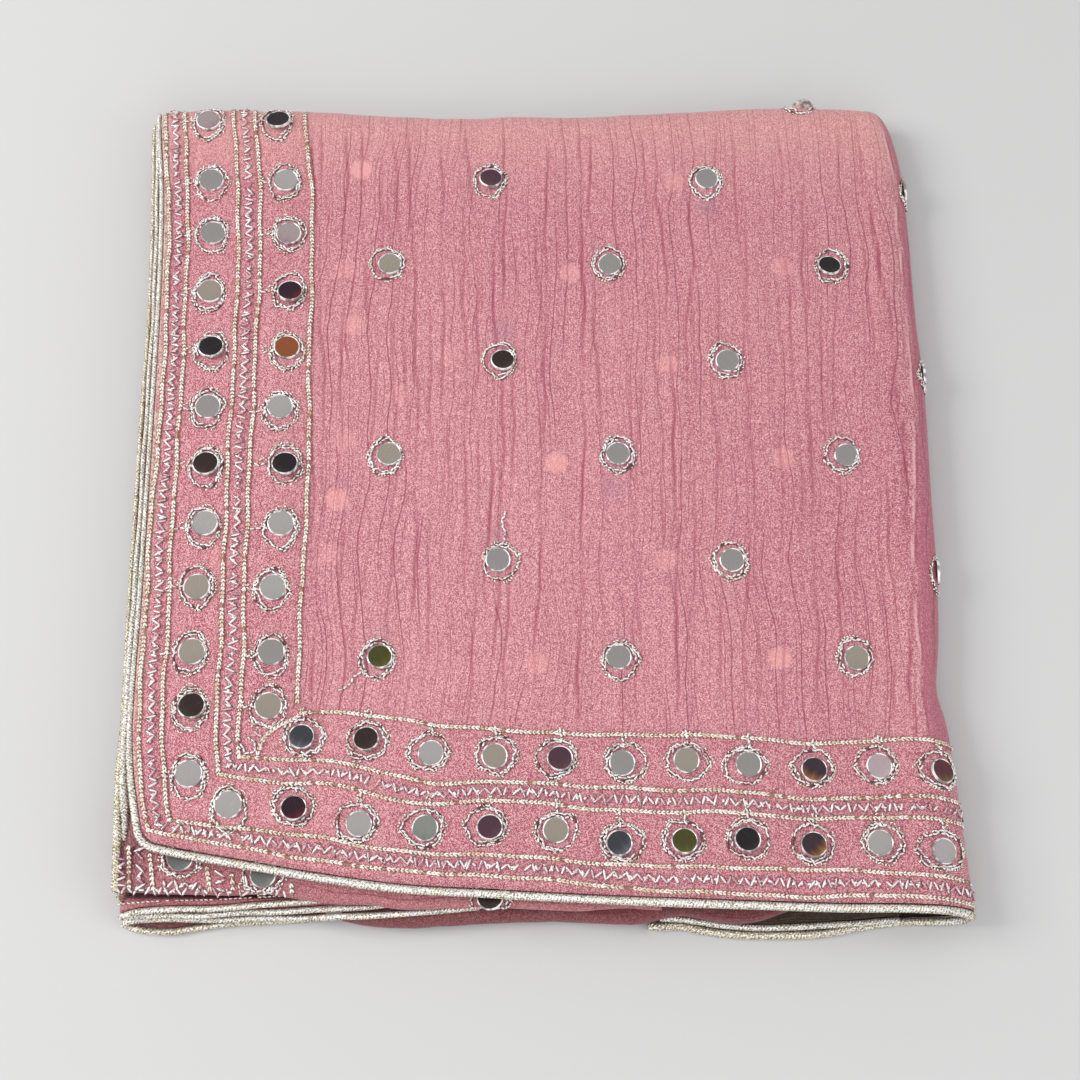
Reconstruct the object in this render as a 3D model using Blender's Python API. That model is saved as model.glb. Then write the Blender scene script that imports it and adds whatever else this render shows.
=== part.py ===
"""A long dupatta stole of crinkled tissue chiffon, folded into a square packet.

The packet lies flat on a table. Its piped corner is at the front left, the folded edges are at
the right and at the back. The outer ply lies over the top, turns down round the right fold and
comes back underneath, and its back edge curls over the back fold, so it is one bent wall.

Tables and sizes are in millimetres, x to the right, y to the back, z up from the table. The
finished objects are in metres, with the origin under the middle of the packet.
"""

import math

import bpy
from mathutils import Vector
from mathutils.geometry import delaunay_2d_cdt

MM = 0.001

# The cloth
CLOTH = 1.2                 # wall of a ply, its embroidery backing included
SEAM = 0.3                  # gap between pieces that touch
CENTRE_X = -1.00            # middle of the packet in the tables below
CENTRE_Y = 0.0

# The height of the packet over the table
TOP_HEIGHT = 20.0           # the middle of the top ply
LEFT_RISE = 1.7             # more under the worked left border
FRONT_RISE = 0.7            # more under the worked front border
RIGHT_FALL = 1.7            # less towards the right fold
BACK_FALL = 1.5             # less towards the back fold
WAVE = 0.3                  # slow waves of the top

# The right fold, where the outer ply turns under
BEND_START = 135.0          # x where the top begins to turn down
BEND_SPAN = 36.0            # cloth in the turn
BEND_EDGE = 20.0            # how far right the front edge runs in the turn
BEND_STEPS = 10

# The back fold: a small round nose on the upper leaf, and the same on the lower leaf
NOSE_START = 152.0          # y where the cloth begins to turn
NOSE_RADIUS = 3.9           # half the thickness of the nose
NOSE_SPAN = 26.0            # cloth in half a turn
NOSE_END = 165.0            # degrees of the half turn that the cloth really covers
NOSE_STEPS = 7

# Piping
PIPE_RADIUS = 1.5           # twisted metal piping on the top ply
EDGE_PIPE_RADIUS = 1.25     # the same piping where lower plies press it flat
INNER_INSET = 1.8           # the hidden plies lie this far inside the outer ply
PIPE_STEP = 10.5            # between the points of an edge

# Mirrors and embroidery
MIRROR_RADIUS = 5.0
MIRROR_LIFT = 0.8
MIRROR_BEVEL = 0.35
MIRROR_SIDES = 9
RIDGE_LIFT = 0.6
RIDGE_HALF = 1.15
RIDGE_STEP = 12.0
RIDGE_START = 3             # the ridges start this many points down from the back fold
CREASE_DEPTH = 0.45
CREASE_HALF = 1.9
CREASE_SHOULDER = 0.15
CREASE_STEP = 15.0
GRID = 14.0                 # spacing of the plain points of a wall
TOP_LEFT = -150.0           # where they begin at the left
TOP_FRONT = -166.0          # and at the front
UNDER_STEPS = 18            # and their columns under the packet
KEEP_CLEAR = 4.2            # plain points stay this far from a raised form
EDGE_CLEAR = 2.3            # and this far from the edge

# Left side, seen from above: x of each piped edge, from the back (first row) to the front
# columns: y, top ply, third ply, second ply, fourth ply
LEFT_EDGES = (
    (176.0, -154.6, -154.2, -156.9, -155.4),
    (150.0, -152.2, -153.4, -156.2, -154.9),
    (120.0, -149.0, -151.8, -154.8, -153.4),
    (78.0, -146.8, -150.2, -153.3, -151.9),
    (32.0, -145.8, -149.3, -152.4, -151.0),
    (-8.0, -145.3, -148.8, -151.9, -150.6),
    (-47.0, -144.8, -148.4, -151.5, -150.3),
    (-90.0, -144.2, -147.4, -150.2, -149.6),
    (-110.0, -142.4, -145.9, -149.6, -149.0),
    (-124.0, -139.8, -144.6, -149.0, -148.4),
    (-150.0, -134.0, -143.0, -147.7, -147.0),
)

# Front edge of the top ply: middle line of its piping, columns: x, y
FRONT_EDGE = (
    (-160.0, -128.0), (-141.0, -134.4), (-125.0, -138.4), (-102.0, -142.4), (-74.0, -146.9),
    (-46.0, -150.6), (-18.0, -152.2), (23.0, -154.3), (65.0, -155.8), (106.0, -157.0),
    (135.0, -157.3), (147.0, -158.9), (155.0, -160.7),
)

# The same edge after it has turned under the packet, columns: x, y
UNDER_EDGE = (
    (-160.0, -124.0), (-125.0, -130.6), (-70.0, -139.0), (-26.0, -142.8), (17.0, -145.2),
    (25.0, -146.6), (31.0, -150.5), (36.5, -158.0), (41.0, -161.6), (52.0, -161.8), (62.0, -163.6),
    (73.0, -164.7), (85.0, -164.9), (102.0, -164.4), (114.0, -162.5), (127.0, -160.7),
    (135.0, -160.3), (155.0, -160.7),
)

# The right fold, columns: y, x of its outermost line
RIGHT_FOLD = (
    (-166.0, 155.5), (-141.0, 154.1), (-115.0, 152.5), (-97.0, 151.3), (-88.0, 150.0),
    (-79.0, 148.0), (-69.0, 149.0), (-56.0, 150.5), (-31.0, 151.6), (-2.0, 151.8),
    (29.0, 152.4), (50.0, 152.2), (70.0, 151.3), (105.0, 151.2), (124.0, 150.8),
    (140.0, 149.9), (151.0, 148.0), (166.0, 144.8), (180.0, 143.0),
)

# The back fold, columns: x, y of its outermost line
BACK_FOLD = (
    (-160.0, 160.5), (-150.0, 161.2), (-132.0, 162.6), (-104.0, 162.0), (-82.0, 162.0),
    (-54.0, 160.5), (-28.0, 159.6), (-6.0, 160.5), (16.0, 160.0), (43.0, 161.6),
    (65.0, 163.0), (85.0, 164.7), (104.0, 165.6), (120.0, 165.3), (135.0, 164.5),
    (150.0, 162.0), (160.0, 160.0),
)

# Border lines of gold chain stitch: distance in from the middle of the piping
# columns: down the left side, along the front
CHAIN_OFFSETS = ((4.6, 5.2), (11.0, 12.9), (31.3, 31.5), (39.5, 39.0), (60.0, 58.6))
CORNER_RADIUS = 6.0

# Border mirrors down the left side, columns: y, x in the outer row, x in the inner row
LEFT_MIRRORS = (
    (155.0, -132.0, -103.7),
    (128.0, -129.0, -99.3),
    (104.0, -126.7, -96.9),
    (78.3, -126.2, -95.0),
    (54.2, -124.2, -95.0),
    (29.4, -123.8, -96.4),
    (6.2, -123.1, -93.4),
    (-17.4, -121.9, -93.7),
    (-42.1, -123.3, -95.4),
    (-66.4, -123.5, -94.8),
    (-86.3, -122.2, -94.8),
)
LEFT_CORNER_MIRROR = (-121.5, -110.9)

# Border mirrors along the front, columns: x, y in the inner row, y in the outer row
FRONT_MIRRORS = (
    (-82.5, -97.5, -122.8),
    (-59.4, -98.2, -128.3),
    (-36.2, -103.3, -129.7),
    (-13.6, -104.3, -129.4),
    (9.6, -105.1, -130.4),
    (31.7, -106.8, -134.9),
    (54.5, -105.8, -134.2),
    (76.5, -107.2, -133.6),
    (99.7, -109.0, -135.3),
    (123.2, -107.6, -134.6),
    (143.5, -109.0, -137.4),
)
FRONT_CORNER_MIRROR = (-106.9, -121.7)

# Field mirrors: every row is half a step from the next, columns: y, x of the first mirror
FIELD_ROWS = (
    (129.6, -17.2),
    (91.0, -56.6),
    (49.4, -11.8),
    (10.8, -54.6),
    (-31.1, -13.0),
    (-68.0, -55.5),
)
FIELD_STEP = 86.6
FIELD_LAST = 128.0
# Field mirrors in the turn of the right fold and of the back fold, as cloth points
FOLD_MIRRORS = ((152.0, 129.0), (152.0, 48.0), (152.0, -33.0), (106.0, 160.0))

# The longest crinkles of the top ply, columns: x at the back, y at the back, y at the front, drift
CREASES = (
    (19.0, 148.0, 22.0, 0.4),
    (19.2, 4.0, -88.0, -3.0),
    (48.0, 150.0, 102.0, 2.5),
    (51.5, 86.0, 6.0, 2.0),
    (53.0, -8.0, -88.0, -2.0),
    (-15.5, 112.0, 68.0, 0.5),
    (-13.0, 30.0, -12.0, -1.5),
    (5.3, 146.0, 62.0, -1.0),
    (3.8, 46.0, -88.0, -3.5),
    (-52.0, 150.0, 110.0, 3.0),
    (-46.0, 74.0, 28.0, 1.0),
    (-44.0, -6.0, -86.0, 0.0),
    (-76.0, 148.0, 12.0, 3.0),
    (-72.7, -6.0, -86.0, -3.0),
    (105.5, 150.0, 34.0, -1.0),
    (104.5, 6.0, -86.0, -1.5),
)

# The second ply: the fold that shows under the top ply's front edge
# columns: x, y of the nose, middle height, half height
SECOND_PLY = (
    (-145.6, -151.0, 14.3, 2.5), (-132.0, -151.8, 14.3, 2.6), (-120.0, -152.1, 14.3, 2.6),
    (-107.0, -152.4, 14.3, 2.6), (-93.0, -152.0, 14.3, 2.6), (-82.0, -153.6, 14.3, 2.6),
    (-70.0, -155.4, 14.3, 2.5), (-57.0, -155.6, 14.1, 2.4), (-46.0, -157.1, 14.0, 2.3),
    (-30.0, -156.9, 13.9, 2.3), (-16.0, -156.5, 13.9, 2.3), (2.0, -157.2, 13.9, 2.3),
    (17.0, -157.7, 13.9, 2.3), (30.0, -156.8, 13.9, 2.2), (45.0, -157.4, 13.9, 2.1),
)

# The darker fold lowest at the front, columns as above
FRONT_FOLD = (
    (-67.5, -160.2, 3.6, 2.8), (-58.0, -162.1, 4.3, 3.9), (-44.0, -162.8, 4.3, 4.0),
    (-30.0, -162.1, 4.3, 4.0), (-18.0, -161.3, 4.3, 4.0), (0.0, -160.7, 4.3, 4.0),
    (14.0, -160.8, 4.4, 4.0), (22.0, -161.2, 5.5, 3.6), (29.0, -161.6, 6.9, 3.1),
    (36.0, -161.8, 8.0, 2.7),
    (43.0, -160.6, 8.4, 2.6), (52.0, -159.0, 8.8, 2.4), (60.0, -160.2, 8.8, 2.4),
    (72.0, -161.6, 8.8, 2.4), (80.0, -160.6, 8.8, 2.4), (88.0, -157.9, 8.8, 2.3),
    (92.0, -156.6, 8.8, 2.1),
)

# Return folds at the front left: the piped edge runs left, turns down and comes back
# columns: x, y, z of the middle of the piping
UPPER_LOOP = (
    (-79.0, -153.9, 10.4), (-98.0, -155.3, 10.5), (-112.0, -156.5, 10.5), (-125.0, -156.6, 10.5),
    (-138.5, -157.5, 10.5), (-144.0, -158.9, 10.3), (-145.6, -159.4, 9.05),
    (-144.0, -159.2, 7.8), (-131.5, -158.5, 7.6), (-117.0, -158.6, 7.6), (-103.0, -157.5, 7.6),
    (-90.0, -157.3, 7.6), (-79.0, -156.7, 7.8),
)
UPPER_LOOP_TAIL = ((-72.0, -156.4, 9.1), (-64.0, -156.2, 9.7), (-56.0, -155.8, 9.9))
LOWER_LOOP = (
    (-78.0, -159.2, 4.9), (-86.0, -159.2, 4.6), (-99.0, -159.3, 4.6), (-112.5, -159.9, 4.6),
    (-126.0, -159.5, 4.6), (-138.0, -159.8, 4.6), (-143.8, -160.6, 4.4), (-145.4, -161.2, 3.1),
    (-143.0, -162.3, 1.8), (-136.0, -163.5, 1.5), (-128.0, -163.8, 1.5), (-118.0, -162.6, 1.5),
    (-108.0, -161.8, 1.5), (-95.0, -161.4, 1.5), (-83.0, -161.1, 1.5), (-74.0, -160.4, 1.5),
)
LOWER_LOOP_HEAD = (
    (-19.0, -155.9, 10.0), (-31.0, -157.0, 10.0), (-40.0, -157.7, 10.0), (-49.0, -158.4, 9.9),
    (-60.0, -159.0, 9.7), (-66.5, -159.1, 9.5), (-73.0, -159.2, 7.3),
)
# The piped ply inside the open right fold, columns: x, y, z
INNER_RETURN = (
    (45.0, -159.4, 4.6), (52.0, -159.6, 4.6), (60.0, -160.7, 4.6), (68.0, -161.8, 4.6),
    (80.0, -162.6, 4.6), (93.0, -162.3, 4.6), (107.0, -161.5, 4.6), (117.0, -159.8, 4.6),
    (124.0, -156.4, 4.6),
)
LOOP_PIPE_RADIUS = 1.15
LEAF = 1.1                  # thickness of a ply in the small folds
FRONT_RECESS = 9.5          # the hidden plies stop this far behind the top ply's piping
FRONT_GROOVE = 0.7          # depth of the grooves between them at the front
LEAF_BACK = 8.3             # the small folds reach back to here, behind the same line
LIP_STEP = 12.0             # between the sections of a front fold
LOOP_STEP = 7.0             # and of a return fold

# The hidden plies
HIDDEN_LEVELS = 12
CAP_CLEAR = 5.0             # the points of its top stay this far from its edge
SIDE_FRONT = -118.0         # y where the piped edges of the lower plies go out of sight
SIDE_BACK = 150.0           # y where they go into the back fold
GROOVE_DEPTH = 4.4          # the grooves between the piped edges, in from the piping
UPPER_GROOVE_DEPTH = 3.4
TOP_INSET = 5.0             # their top starts this far in from the top ply's piping
FOOT_INSET = 4.6            # and their foot this far in from the lowest ply's piping
# Heights of the piped edges down the left side, over the table
THIRD_PLY_HEIGHT = 15.8
THIRD_PLY_FRONT = -116.0    # y where its piping goes out of sight at the front
SECOND_PLY_HEIGHT = 10.9
FOURTH_PLY_HEIGHT = 6.2
LOWEST_PLY_HEIGHT = 1.45
LOWEST_PLY_X = -149.8
SIDE_PIPE_STEP = 14.5       # between the points of these edges

ROSE = (0.62, 0.22, 0.27, 1.0)
DEEP_ROSE = (0.42, 0.11, 0.15, 1.0)
SHADE_ROSE = (0.30, 0.09, 0.11, 1.0)
SILVER_GOLD = (0.74, 0.67, 0.52, 1.0)


# ------------------------------------------------------------------ numbers


def curve_through(rows, value=1):
    """A smooth function through a table: first column to the column named by value."""
    table = sorted((row[0], row[value]) for row in rows)
    keys = [row[0] for row in table]
    values = [row[1] for row in table]
    last = len(keys) - 1

    def slope(i):
        low = max(i - 1, 0)
        high = min(i + 1, last)
        return (values[high] - values[low]) / (keys[high] - keys[low])

    slopes = [slope(i) for i in range(last + 1)]

    def at(x):
        x = min(max(x, keys[0]), keys[last])
        i = 0
        while i < last - 1 and x > keys[i + 1]:
            i += 1
        span = keys[i + 1] - keys[i]
        u = (x - keys[i]) / span
        return ((2 * u**3 - 3 * u**2 + 1) * values[i] + (u**3 - 2 * u**2 + u) * span * slopes[i]
                + (3 * u**2 - 2 * u**3) * values[i + 1] + (u**3 - u**2) * span * slopes[i + 1])

    return at


def ramp(x, start, end):
    """Rises smoothly from 0 at start to 1 at end."""
    u = min(max((x - start) / (end - start), 0.0), 1.0)
    return u * u * (3.0 - 2.0 * u)


def steps(start, end, count):
    """Evenly spaced numbers from start to end, both included."""
    return [start + (end - start) * i / count for i in range(count + 1)]


def resample(points, spacing):
    """Points on a smooth curve through the given ones, about a spacing apart."""
    points = [Vector(p) for p in points]
    smooth = [points[0]]
    for i in range(len(points) - 1):
        before = points[max(i - 1, 0)]
        after = points[min(i + 2, len(points) - 1)]
        a, b = points[i], points[i + 1]
        count = max(1, round((b - a).length / spacing))
        for j in range(1, count + 1):
            u = j / count
            pull = 0.5 * ((2 * a) + (b - before) * u + (2 * before - 5 * a + 4 * b - after) * u**2
                          + (3 * a - before - 3 * b + after) * u**3)
            smooth.append(pull)
    return smooth


left_piping = curve_through(LEFT_EDGES, 1)
third_ply = curve_through(LEFT_EDGES, 2)
second_ply_edge = curve_through(LEFT_EDGES, 3)
fourth_ply = curve_through(LEFT_EDGES, 4)
front_piping = curve_through(FRONT_EDGE)
under_piping = curve_through(UNDER_EDGE)
right_fold = curve_through(RIGHT_FOLD)
back_fold = curve_through(BACK_FOLD)

BEND_END = BEND_START + BEND_SPAN
UNDER_LEFT = BEND_START + BEND_END - LOWEST_PLY_X
NOSE_LAST = NOSE_START + NOSE_SPAN * NOSE_END / 180.0


def top_height(x, y):
    """Height of the top ply over the table."""
    height = TOP_HEIGHT
    height += LEFT_RISE * ramp(-x, 66.0, 104.0)
    height += FRONT_RISE * ramp(-y, 84.0, 104.0)
    height -= RIGHT_FALL * ramp(x, 50.0, 135.0)
    height -= BACK_FALL * ramp(y, 40.0, 152.0)
    height += WAVE * math.sin(x / 19.0 + 0.6) * math.cos(y / 31.0)
    return height


def outer_point(s, t, depth):
    """A point of the outer ply, depth under its outer face.

    s runs along the cloth from the left edge, over the top, round the right fold and back
    underneath. t runs from the front to the back and on round the back fold.
    """
    y, under = t, depth
    along = min(s, BEND_START) if s < BEND_END else BEND_START + BEND_END - s
    if t > NOSE_START:
        turn = math.radians(90.0 - 180.0 * (t - NOSE_START) / NOSE_SPAN)
        reach = back_fold(along) - NOSE_START
        y = NOSE_START + (reach - depth) * math.cos(turn)
        under = NOSE_RADIUS - (NOSE_RADIUS - depth) * math.sin(turn)
    if s <= BEND_START:
        return Vector((s, y, top_height(s, y) - under))
    if s >= BEND_END:
        return Vector((along, y, under))
    bend = math.radians(90.0 - 180.0 * (s - BEND_START) / BEND_SPAN)
    half = top_height(BEND_START, y) / 2.0
    reach = right_fold(y) - BEND_START
    return Vector((BEND_START + (reach - under) * math.cos(bend), y,
                   half + (half - under) * math.sin(bend)))


# ------------------------------------------------------------------ objects


def material(name, colour, roughness, metallic):
    """A plain Principled material."""
    made = bpy.data.materials.new(name)
    made.use_nodes = True
    shader = made.node_tree.nodes["Principled BSDF"]
    shader.inputs["Base Color"].default_value = colour
    shader.inputs["Roughness"].default_value = roughness
    shader.inputs["Metallic"].default_value = metallic
    return made


def to_metres(point):
    """A table point in millimetres as an object point in metres."""
    return ((point[0] - CENTRE_X) * MM, (point[1] - CENTRE_Y) * MM, point[2] * MM)


def solid(name, points, faces, finish):
    """One closed, smooth-shaded mesh object from points in millimetres."""
    mesh = bpy.data.meshes.new(name)
    mesh.from_pydata([to_metres(p) for p in points], [], faces)
    mesh.shade_smooth()
    mesh.set_sharp_from_angle(angle=math.radians(50.0))
    mesh.materials.append(finish)
    made = bpy.data.objects.new(name, mesh)
    bpy.context.collection.objects.link(made)
    return made


def piping(name, path, radius, finish):
    """A round piping along a path in millimetres, with filled ends."""
    curve = bpy.data.curves.new(name, "CURVE")
    curve.dimensions = "3D"
    curve.bevel_depth = radius * MM
    curve.bevel_resolution = 2
    curve.use_fill_caps = True
    curve.render_resolution_u = 0
    spline = curve.splines.new("POLY")
    spline.points.add(len(path) - 1)
    for point, place in zip(spline.points, path):
        point.co = (*to_metres(place), 1.0)
    curve.materials.append(finish)
    made = bpy.data.objects.new(name, curve)
    bpy.context.collection.objects.link(made)
    return made


def fill(loop, inner, creases=()):
    """Triangles over a closed loop of flat points, with more points and lines inside it."""
    flat = [Vector((p[0], p[1])) for p in loop + inner]
    rim = [(i, (i + 1) % len(loop)) for i in range(len(loop))]
    lines = [(a + len(loop), b + len(loop)) for a, b in creases]
    _, _, faces, origins, _, _ = delaunay_2d_cdt(flat, rim + lines, [], 1, 1e-5)
    return [[origins[corner][0] for corner in face] for face in faces]


def wall_from_grids(name, outer, inner, finish):
    """A closed wall between two grids of points, outer facing out for rows across columns."""
    rows, columns = len(outer), len(outer[0])
    points = [p for row in outer for p in row] + [p for row in inner for p in row]
    offset = rows * columns
    faces = []
    for i in range(rows - 1):
        for j in range(columns - 1):
            a, b = i * columns + j, i * columns + j + 1
            c, d = a + columns, b + columns
            faces += [(a, b, d), (a, d, c)]
            faces += [(a + offset, d + offset, b + offset), (a + offset, c + offset, d + offset)]
    rim = [j for j in range(columns)]
    rim += [i * columns + columns - 1 for i in range(1, rows)]
    rim += [(rows - 1) * columns + j for j in range(columns - 2, -1, -1)]
    rim += [i * columns for i in range(rows - 2, 0, -1)]
    for a, b in zip(rim, rim[1:] + rim[:1]):
        faces += [(a, a + offset, b + offset), (a, b + offset, b)]
    return solid(name, points, faces, finish)


# ------------------------------------------------------------------ the outer ply


def piped_line(side_offset, front_offset, corner_radius):
    """The left and front edges of the top ply, moved inwards, as cloth points (s, t).

    It runs from the back fold down the left side, round the corner and along the front.
    """
    corner_s = left_piping(-134.0) + side_offset
    corner_t = front_piping(corner_s) + front_offset
    line = []
    for t in steps(NOSE_LAST, NOSE_START, NOSE_STEPS):
        line.append((left_piping(t) + side_offset, t))
    side_end = corner_t + corner_radius
    for t in steps(NOSE_START, side_end, round((NOSE_START - side_end) / PIPE_STEP))[1:]:
        line.append((left_piping(t) + side_offset, t))
    front_start = corner_s + corner_radius
    start = line[-1]
    turn = (front_start, front_piping(front_start) + front_offset)
    for u in (0.25, 0.5, 0.75) if corner_radius > 1.0 else (0.5,):
        a = Vector(start).lerp(Vector((corner_s, corner_t)), u)
        b = Vector((corner_s, corner_t)).lerp(Vector(turn), u)
        line.append(tuple(a.lerp(b, u)))
    for s in steps(front_start, BEND_START, round((BEND_START - front_start) / PIPE_STEP)):
        line.append((s, front_piping(s) + front_offset))
    return line


def bend_line(offset, last_step):
    """The front edge where it goes round the right fold, moved inwards."""
    line = []
    for step in range(1, last_step + 1):
        s = BEND_START + BEND_SPAN * step / BEND_STEPS
        share = ramp(step, 0, BEND_STEPS)
        upper = front_piping(BEND_START + BEND_EDGE * step / BEND_STEPS)
        lower = under_piping(BEND_START)
        line.append((s, (1.0 - share) * upper + share * lower + offset))
    return line


def under_line(offset, last_x):
    """The front edge under the packet, from the right fold to last_x, moved inwards."""
    count = round((BEND_START - last_x) / PIPE_STEP)
    return [(BEND_START + BEND_END - x, under_piping(x) + offset)
            for x in steps(BEND_START, last_x, count)[1:]]


def outline_of_ply():
    """The edge of the outer ply as a closed loop of cloth points, anticlockwise."""
    inward = PIPE_RADIUS + SEAM
    loop = piped_line(inward, inward, CORNER_RADIUS)
    loop += bend_line(inward, BEND_STEPS)
    loop += under_line(inward, -140.0)
    last_s = UNDER_LEFT - inward
    loop.append((last_s, under_piping(LOWEST_PLY_X) + inward))
    for t in steps(SIDE_FRONT, NOSE_START, 9):
        loop.append((last_s, t))
    for t in steps(NOSE_START, NOSE_LAST, NOSE_STEPS)[1:]:
        loop.append((last_s, t))
    top_s, bend_s, under_s = lines_across()
    for s in reversed(top_s + bend_s + under_s):
        if loop[0][0] + 1.0 < s < last_s - 1.0:
            loop.append((s, NOSE_LAST))
    return loop


def lines_across():
    """The s values of the plain points: over the top, round the right fold and underneath."""
    top_s = steps(TOP_LEFT, BEND_START, round((BEND_START - TOP_LEFT) / GRID))
    bend_s = steps(BEND_START, BEND_END, BEND_STEPS)[1:]
    under_s = steps(BEND_END, UNDER_LEFT, UNDER_STEPS)[1:]
    return top_s, bend_s, under_s


def grid_zones():
    """The plain points of the outer ply as zones of s values and t values."""
    top_s, bend_s, under_s = lines_across()
    top_t = steps(TOP_FRONT, NOSE_START, round((NOSE_START - TOP_FRONT) / GRID))
    nose_t = steps(NOSE_START, NOSE_LAST, NOSE_STEPS)[1:-1]
    return (
        (top_s + bend_s, top_t),
        (top_s + bend_s + under_s, nose_t),
        (under_s[::3], top_t[3::5]),
        (under_s, [NOSE_START]),
    )


def inside(point, loop):
    """Whether a flat point lies inside a closed loop."""
    x, y = point
    found = False
    for (ax, ay), (bx, by) in zip(loop, loop[1:] + loop[:1]):
        if (ay > y) != (by > y) and x < ax + (y - ay) * (bx - ax) / (by - ay):
            found = not found
    return found


def distance_to_loop(point, loop):
    """Distance from a flat point to the nearest stretch of a closed loop."""
    nearest = 1e9
    p = Vector(point)
    for a, b in zip(loop, loop[1:] + loop[:1]):
        a, b = Vector(a), Vector(b)
        along = b - a
        u = min(max((p - a).dot(along) / along.length_squared, 0.0), 1.0)
        nearest = min(nearest, (p - a - along * u).length)
    return nearest


def plain_points(loop, clear_of):
    """The grid points that lie inside a wall's edge and clear of its raised forms."""
    kept = []
    for across, deep in grid_zones():
        for point in ((s, t) for s in across for t in deep):
            if not inside(point, loop) or distance_to_loop(point, loop) < EDGE_CLEAR:
                continue
            if all((point[0] - q[0])**2 + (point[1] - q[1])**2 > KEEP_CLEAR**2 for q in clear_of):
                kept.append(point)
    return kept


def mirror_places():
    """The middle of every mirror on the top ply, as cloth points."""
    places = [LEFT_CORNER_MIRROR, FRONT_CORNER_MIRROR]
    for y, outer_x, inner_x in LEFT_MIRRORS:
        places += [(outer_x, y), (inner_x, y)]
    for x, inner_y, outer_y in FRONT_MIRRORS:
        places += [(x, inner_y), (x - 1.5, outer_y)]
    for y, first_x in FIELD_ROWS:
        x = first_x
        while x < FIELD_LAST:
            places.append((x, y))
            x += FIELD_STEP
    return places + list(FOLD_MIRRORS)


class RaisedForms:
    """The mirrors, chain ridges and crinkles of a ply: flat points, their lift and their lines."""

    def __init__(self):
        self.points = []
        self.lifts = []
        self.lines = []

    def add_line(self, line, lift, closed=False):
        """Add a row of joined points at one lift."""
        first = len(self.points)
        self.points += line
        self.lifts += [lift] * len(line)
        self.lines += [(first + i, first + i + 1) for i in range(len(line) - 1)]
        if closed:
            self.lines.append((first + len(line) - 1, first))

    def add_mirror(self, place):
        """Add a round mirror, flat on top."""
        for radius, lift in ((MIRROR_RADIUS + MIRROR_BEVEL, 0.0), (MIRROR_RADIUS, MIRROR_LIFT)):
            ring = []
            for i in range(MIRROR_SIDES):
                angle = 2.0 * math.pi * (i + 0.5) / MIRROR_SIDES
                ring.append((place[0] + radius * math.cos(angle), place[1] + radius * math.sin(angle)))
            self.add_line(ring, lift, closed=True)

    def add_ridge(self, side_offset, front_offset):
        """Add a chain-stitched line that follows the border at its distances from the piping."""
        for shift, lift in ((-RIDGE_HALF, 0.0), (0.0, RIDGE_LIFT), (RIDGE_HALF, 0.0)):
            line = piped_line(side_offset + shift, front_offset + shift, 0.0)
            self.add_line(thinned(line[RIDGE_START:]), lift)

    def add_crease(self, x, back_y, front_y, drift):
        """Add a long soft trough that drifts a little sideways."""
        count = round((back_y - front_y) / CREASE_STEP)
        profile = ((-CREASE_HALF, CREASE_SHOULDER), (0.0, -CREASE_DEPTH), (CREASE_HALF, CREASE_SHOULDER))
        for shift, lift in profile:
            line = []
            for y in steps(back_y, front_y, count):
                share = (back_y - y) / (back_y - front_y)
                taper = 1.0 if 0.05 < share < 0.95 else 0.35
                line.append((x + drift * share + 0.8 * math.sin(y / 17.0) + shift * taper, y))
            self.add_line(line, lift)


def thinned(line):
    """A long line with fewer points on its straight stretches."""
    kept = [line[0]]
    for before, point, after in zip(line, line[1:], line[2:]):
        turn = (Vector(point) - Vector(before)).angle(Vector(after) - Vector(point), 0.0)
        far = (Vector(point) - Vector(kept[-1])).length > 1.4 * RIDGE_STEP
        if turn > 0.12 or far or point[1] > NOSE_START:
            kept.append(point)
    return kept + [line[-1]]


def build_top_ply(finish):
    """The outer ply: a wall with mirrors, chain ridges and long crinkles in its outer face."""
    loop = outline_of_ply()
    forms = RaisedForms()
    for place in mirror_places():
        forms.add_mirror(place)
    for side_offset, front_offset in CHAIN_OFFSETS:
        forms.add_ridge(side_offset, front_offset)
    for row in CREASES:
        forms.add_crease(*row)
    plain = plain_points(loop, forms.points)
    outer_flat = loop + forms.points + plain
    outer_lift = [0.0] * len(loop) + forms.lifts + [0.0] * len(plain)
    outer_faces = fill(loop, forms.points + plain, forms.lines)
    under = plain_points(loop, [])
    inner_faces = fill(loop, under)
    points = [outer_point(s, t, -lift) for (s, t), lift in zip(outer_flat, outer_lift)]
    offset = len(points)
    points += [outer_point(s, t, CLOTH) for s, t in loop + under]
    faces = [tuple(face) for face in outer_faces]
    faces += [tuple(corner + offset for corner in reversed(face)) for face in inner_faces]
    for i in range(len(loop)):
        j = (i + 1) % len(loop)
        faces += [(i + offset, j + offset, j), (i + offset, j, i)]
    return solid("top_ply", points, faces, finish)


def build_top_piping(finish):
    """The piping of the top ply, from the back fold to where it goes out of sight below."""
    path = []
    for s, t in piped_line(0.0, 0.0, CORNER_RADIUS + PIPE_RADIUS):
        path.append(outer_point(s, t, CLOTH / 2.0))
    for s, t in bend_line(0.0, BEND_STEPS):
        share = ramp(s, BEND_START, BEND_END)
        path.append(outer_point(s, t, CLOTH / 2.0 + (PIPE_RADIUS + 0.1 - CLOTH / 2.0) * share))
    for s, t in under_line(0.0, 41.0):
        path.append(outer_point(s, t, PIPE_RADIUS + 0.1))
    return piping("top_ply_piping", path, PIPE_RADIUS, finish)


# ------------------------------------------------------------------ the hidden plies


def level_height(level, height):
    """Height of one level of the hidden plies where the packet has the given height."""
    return INNER_INSET + level * (height - 2.0 * INNER_INSET)


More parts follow.
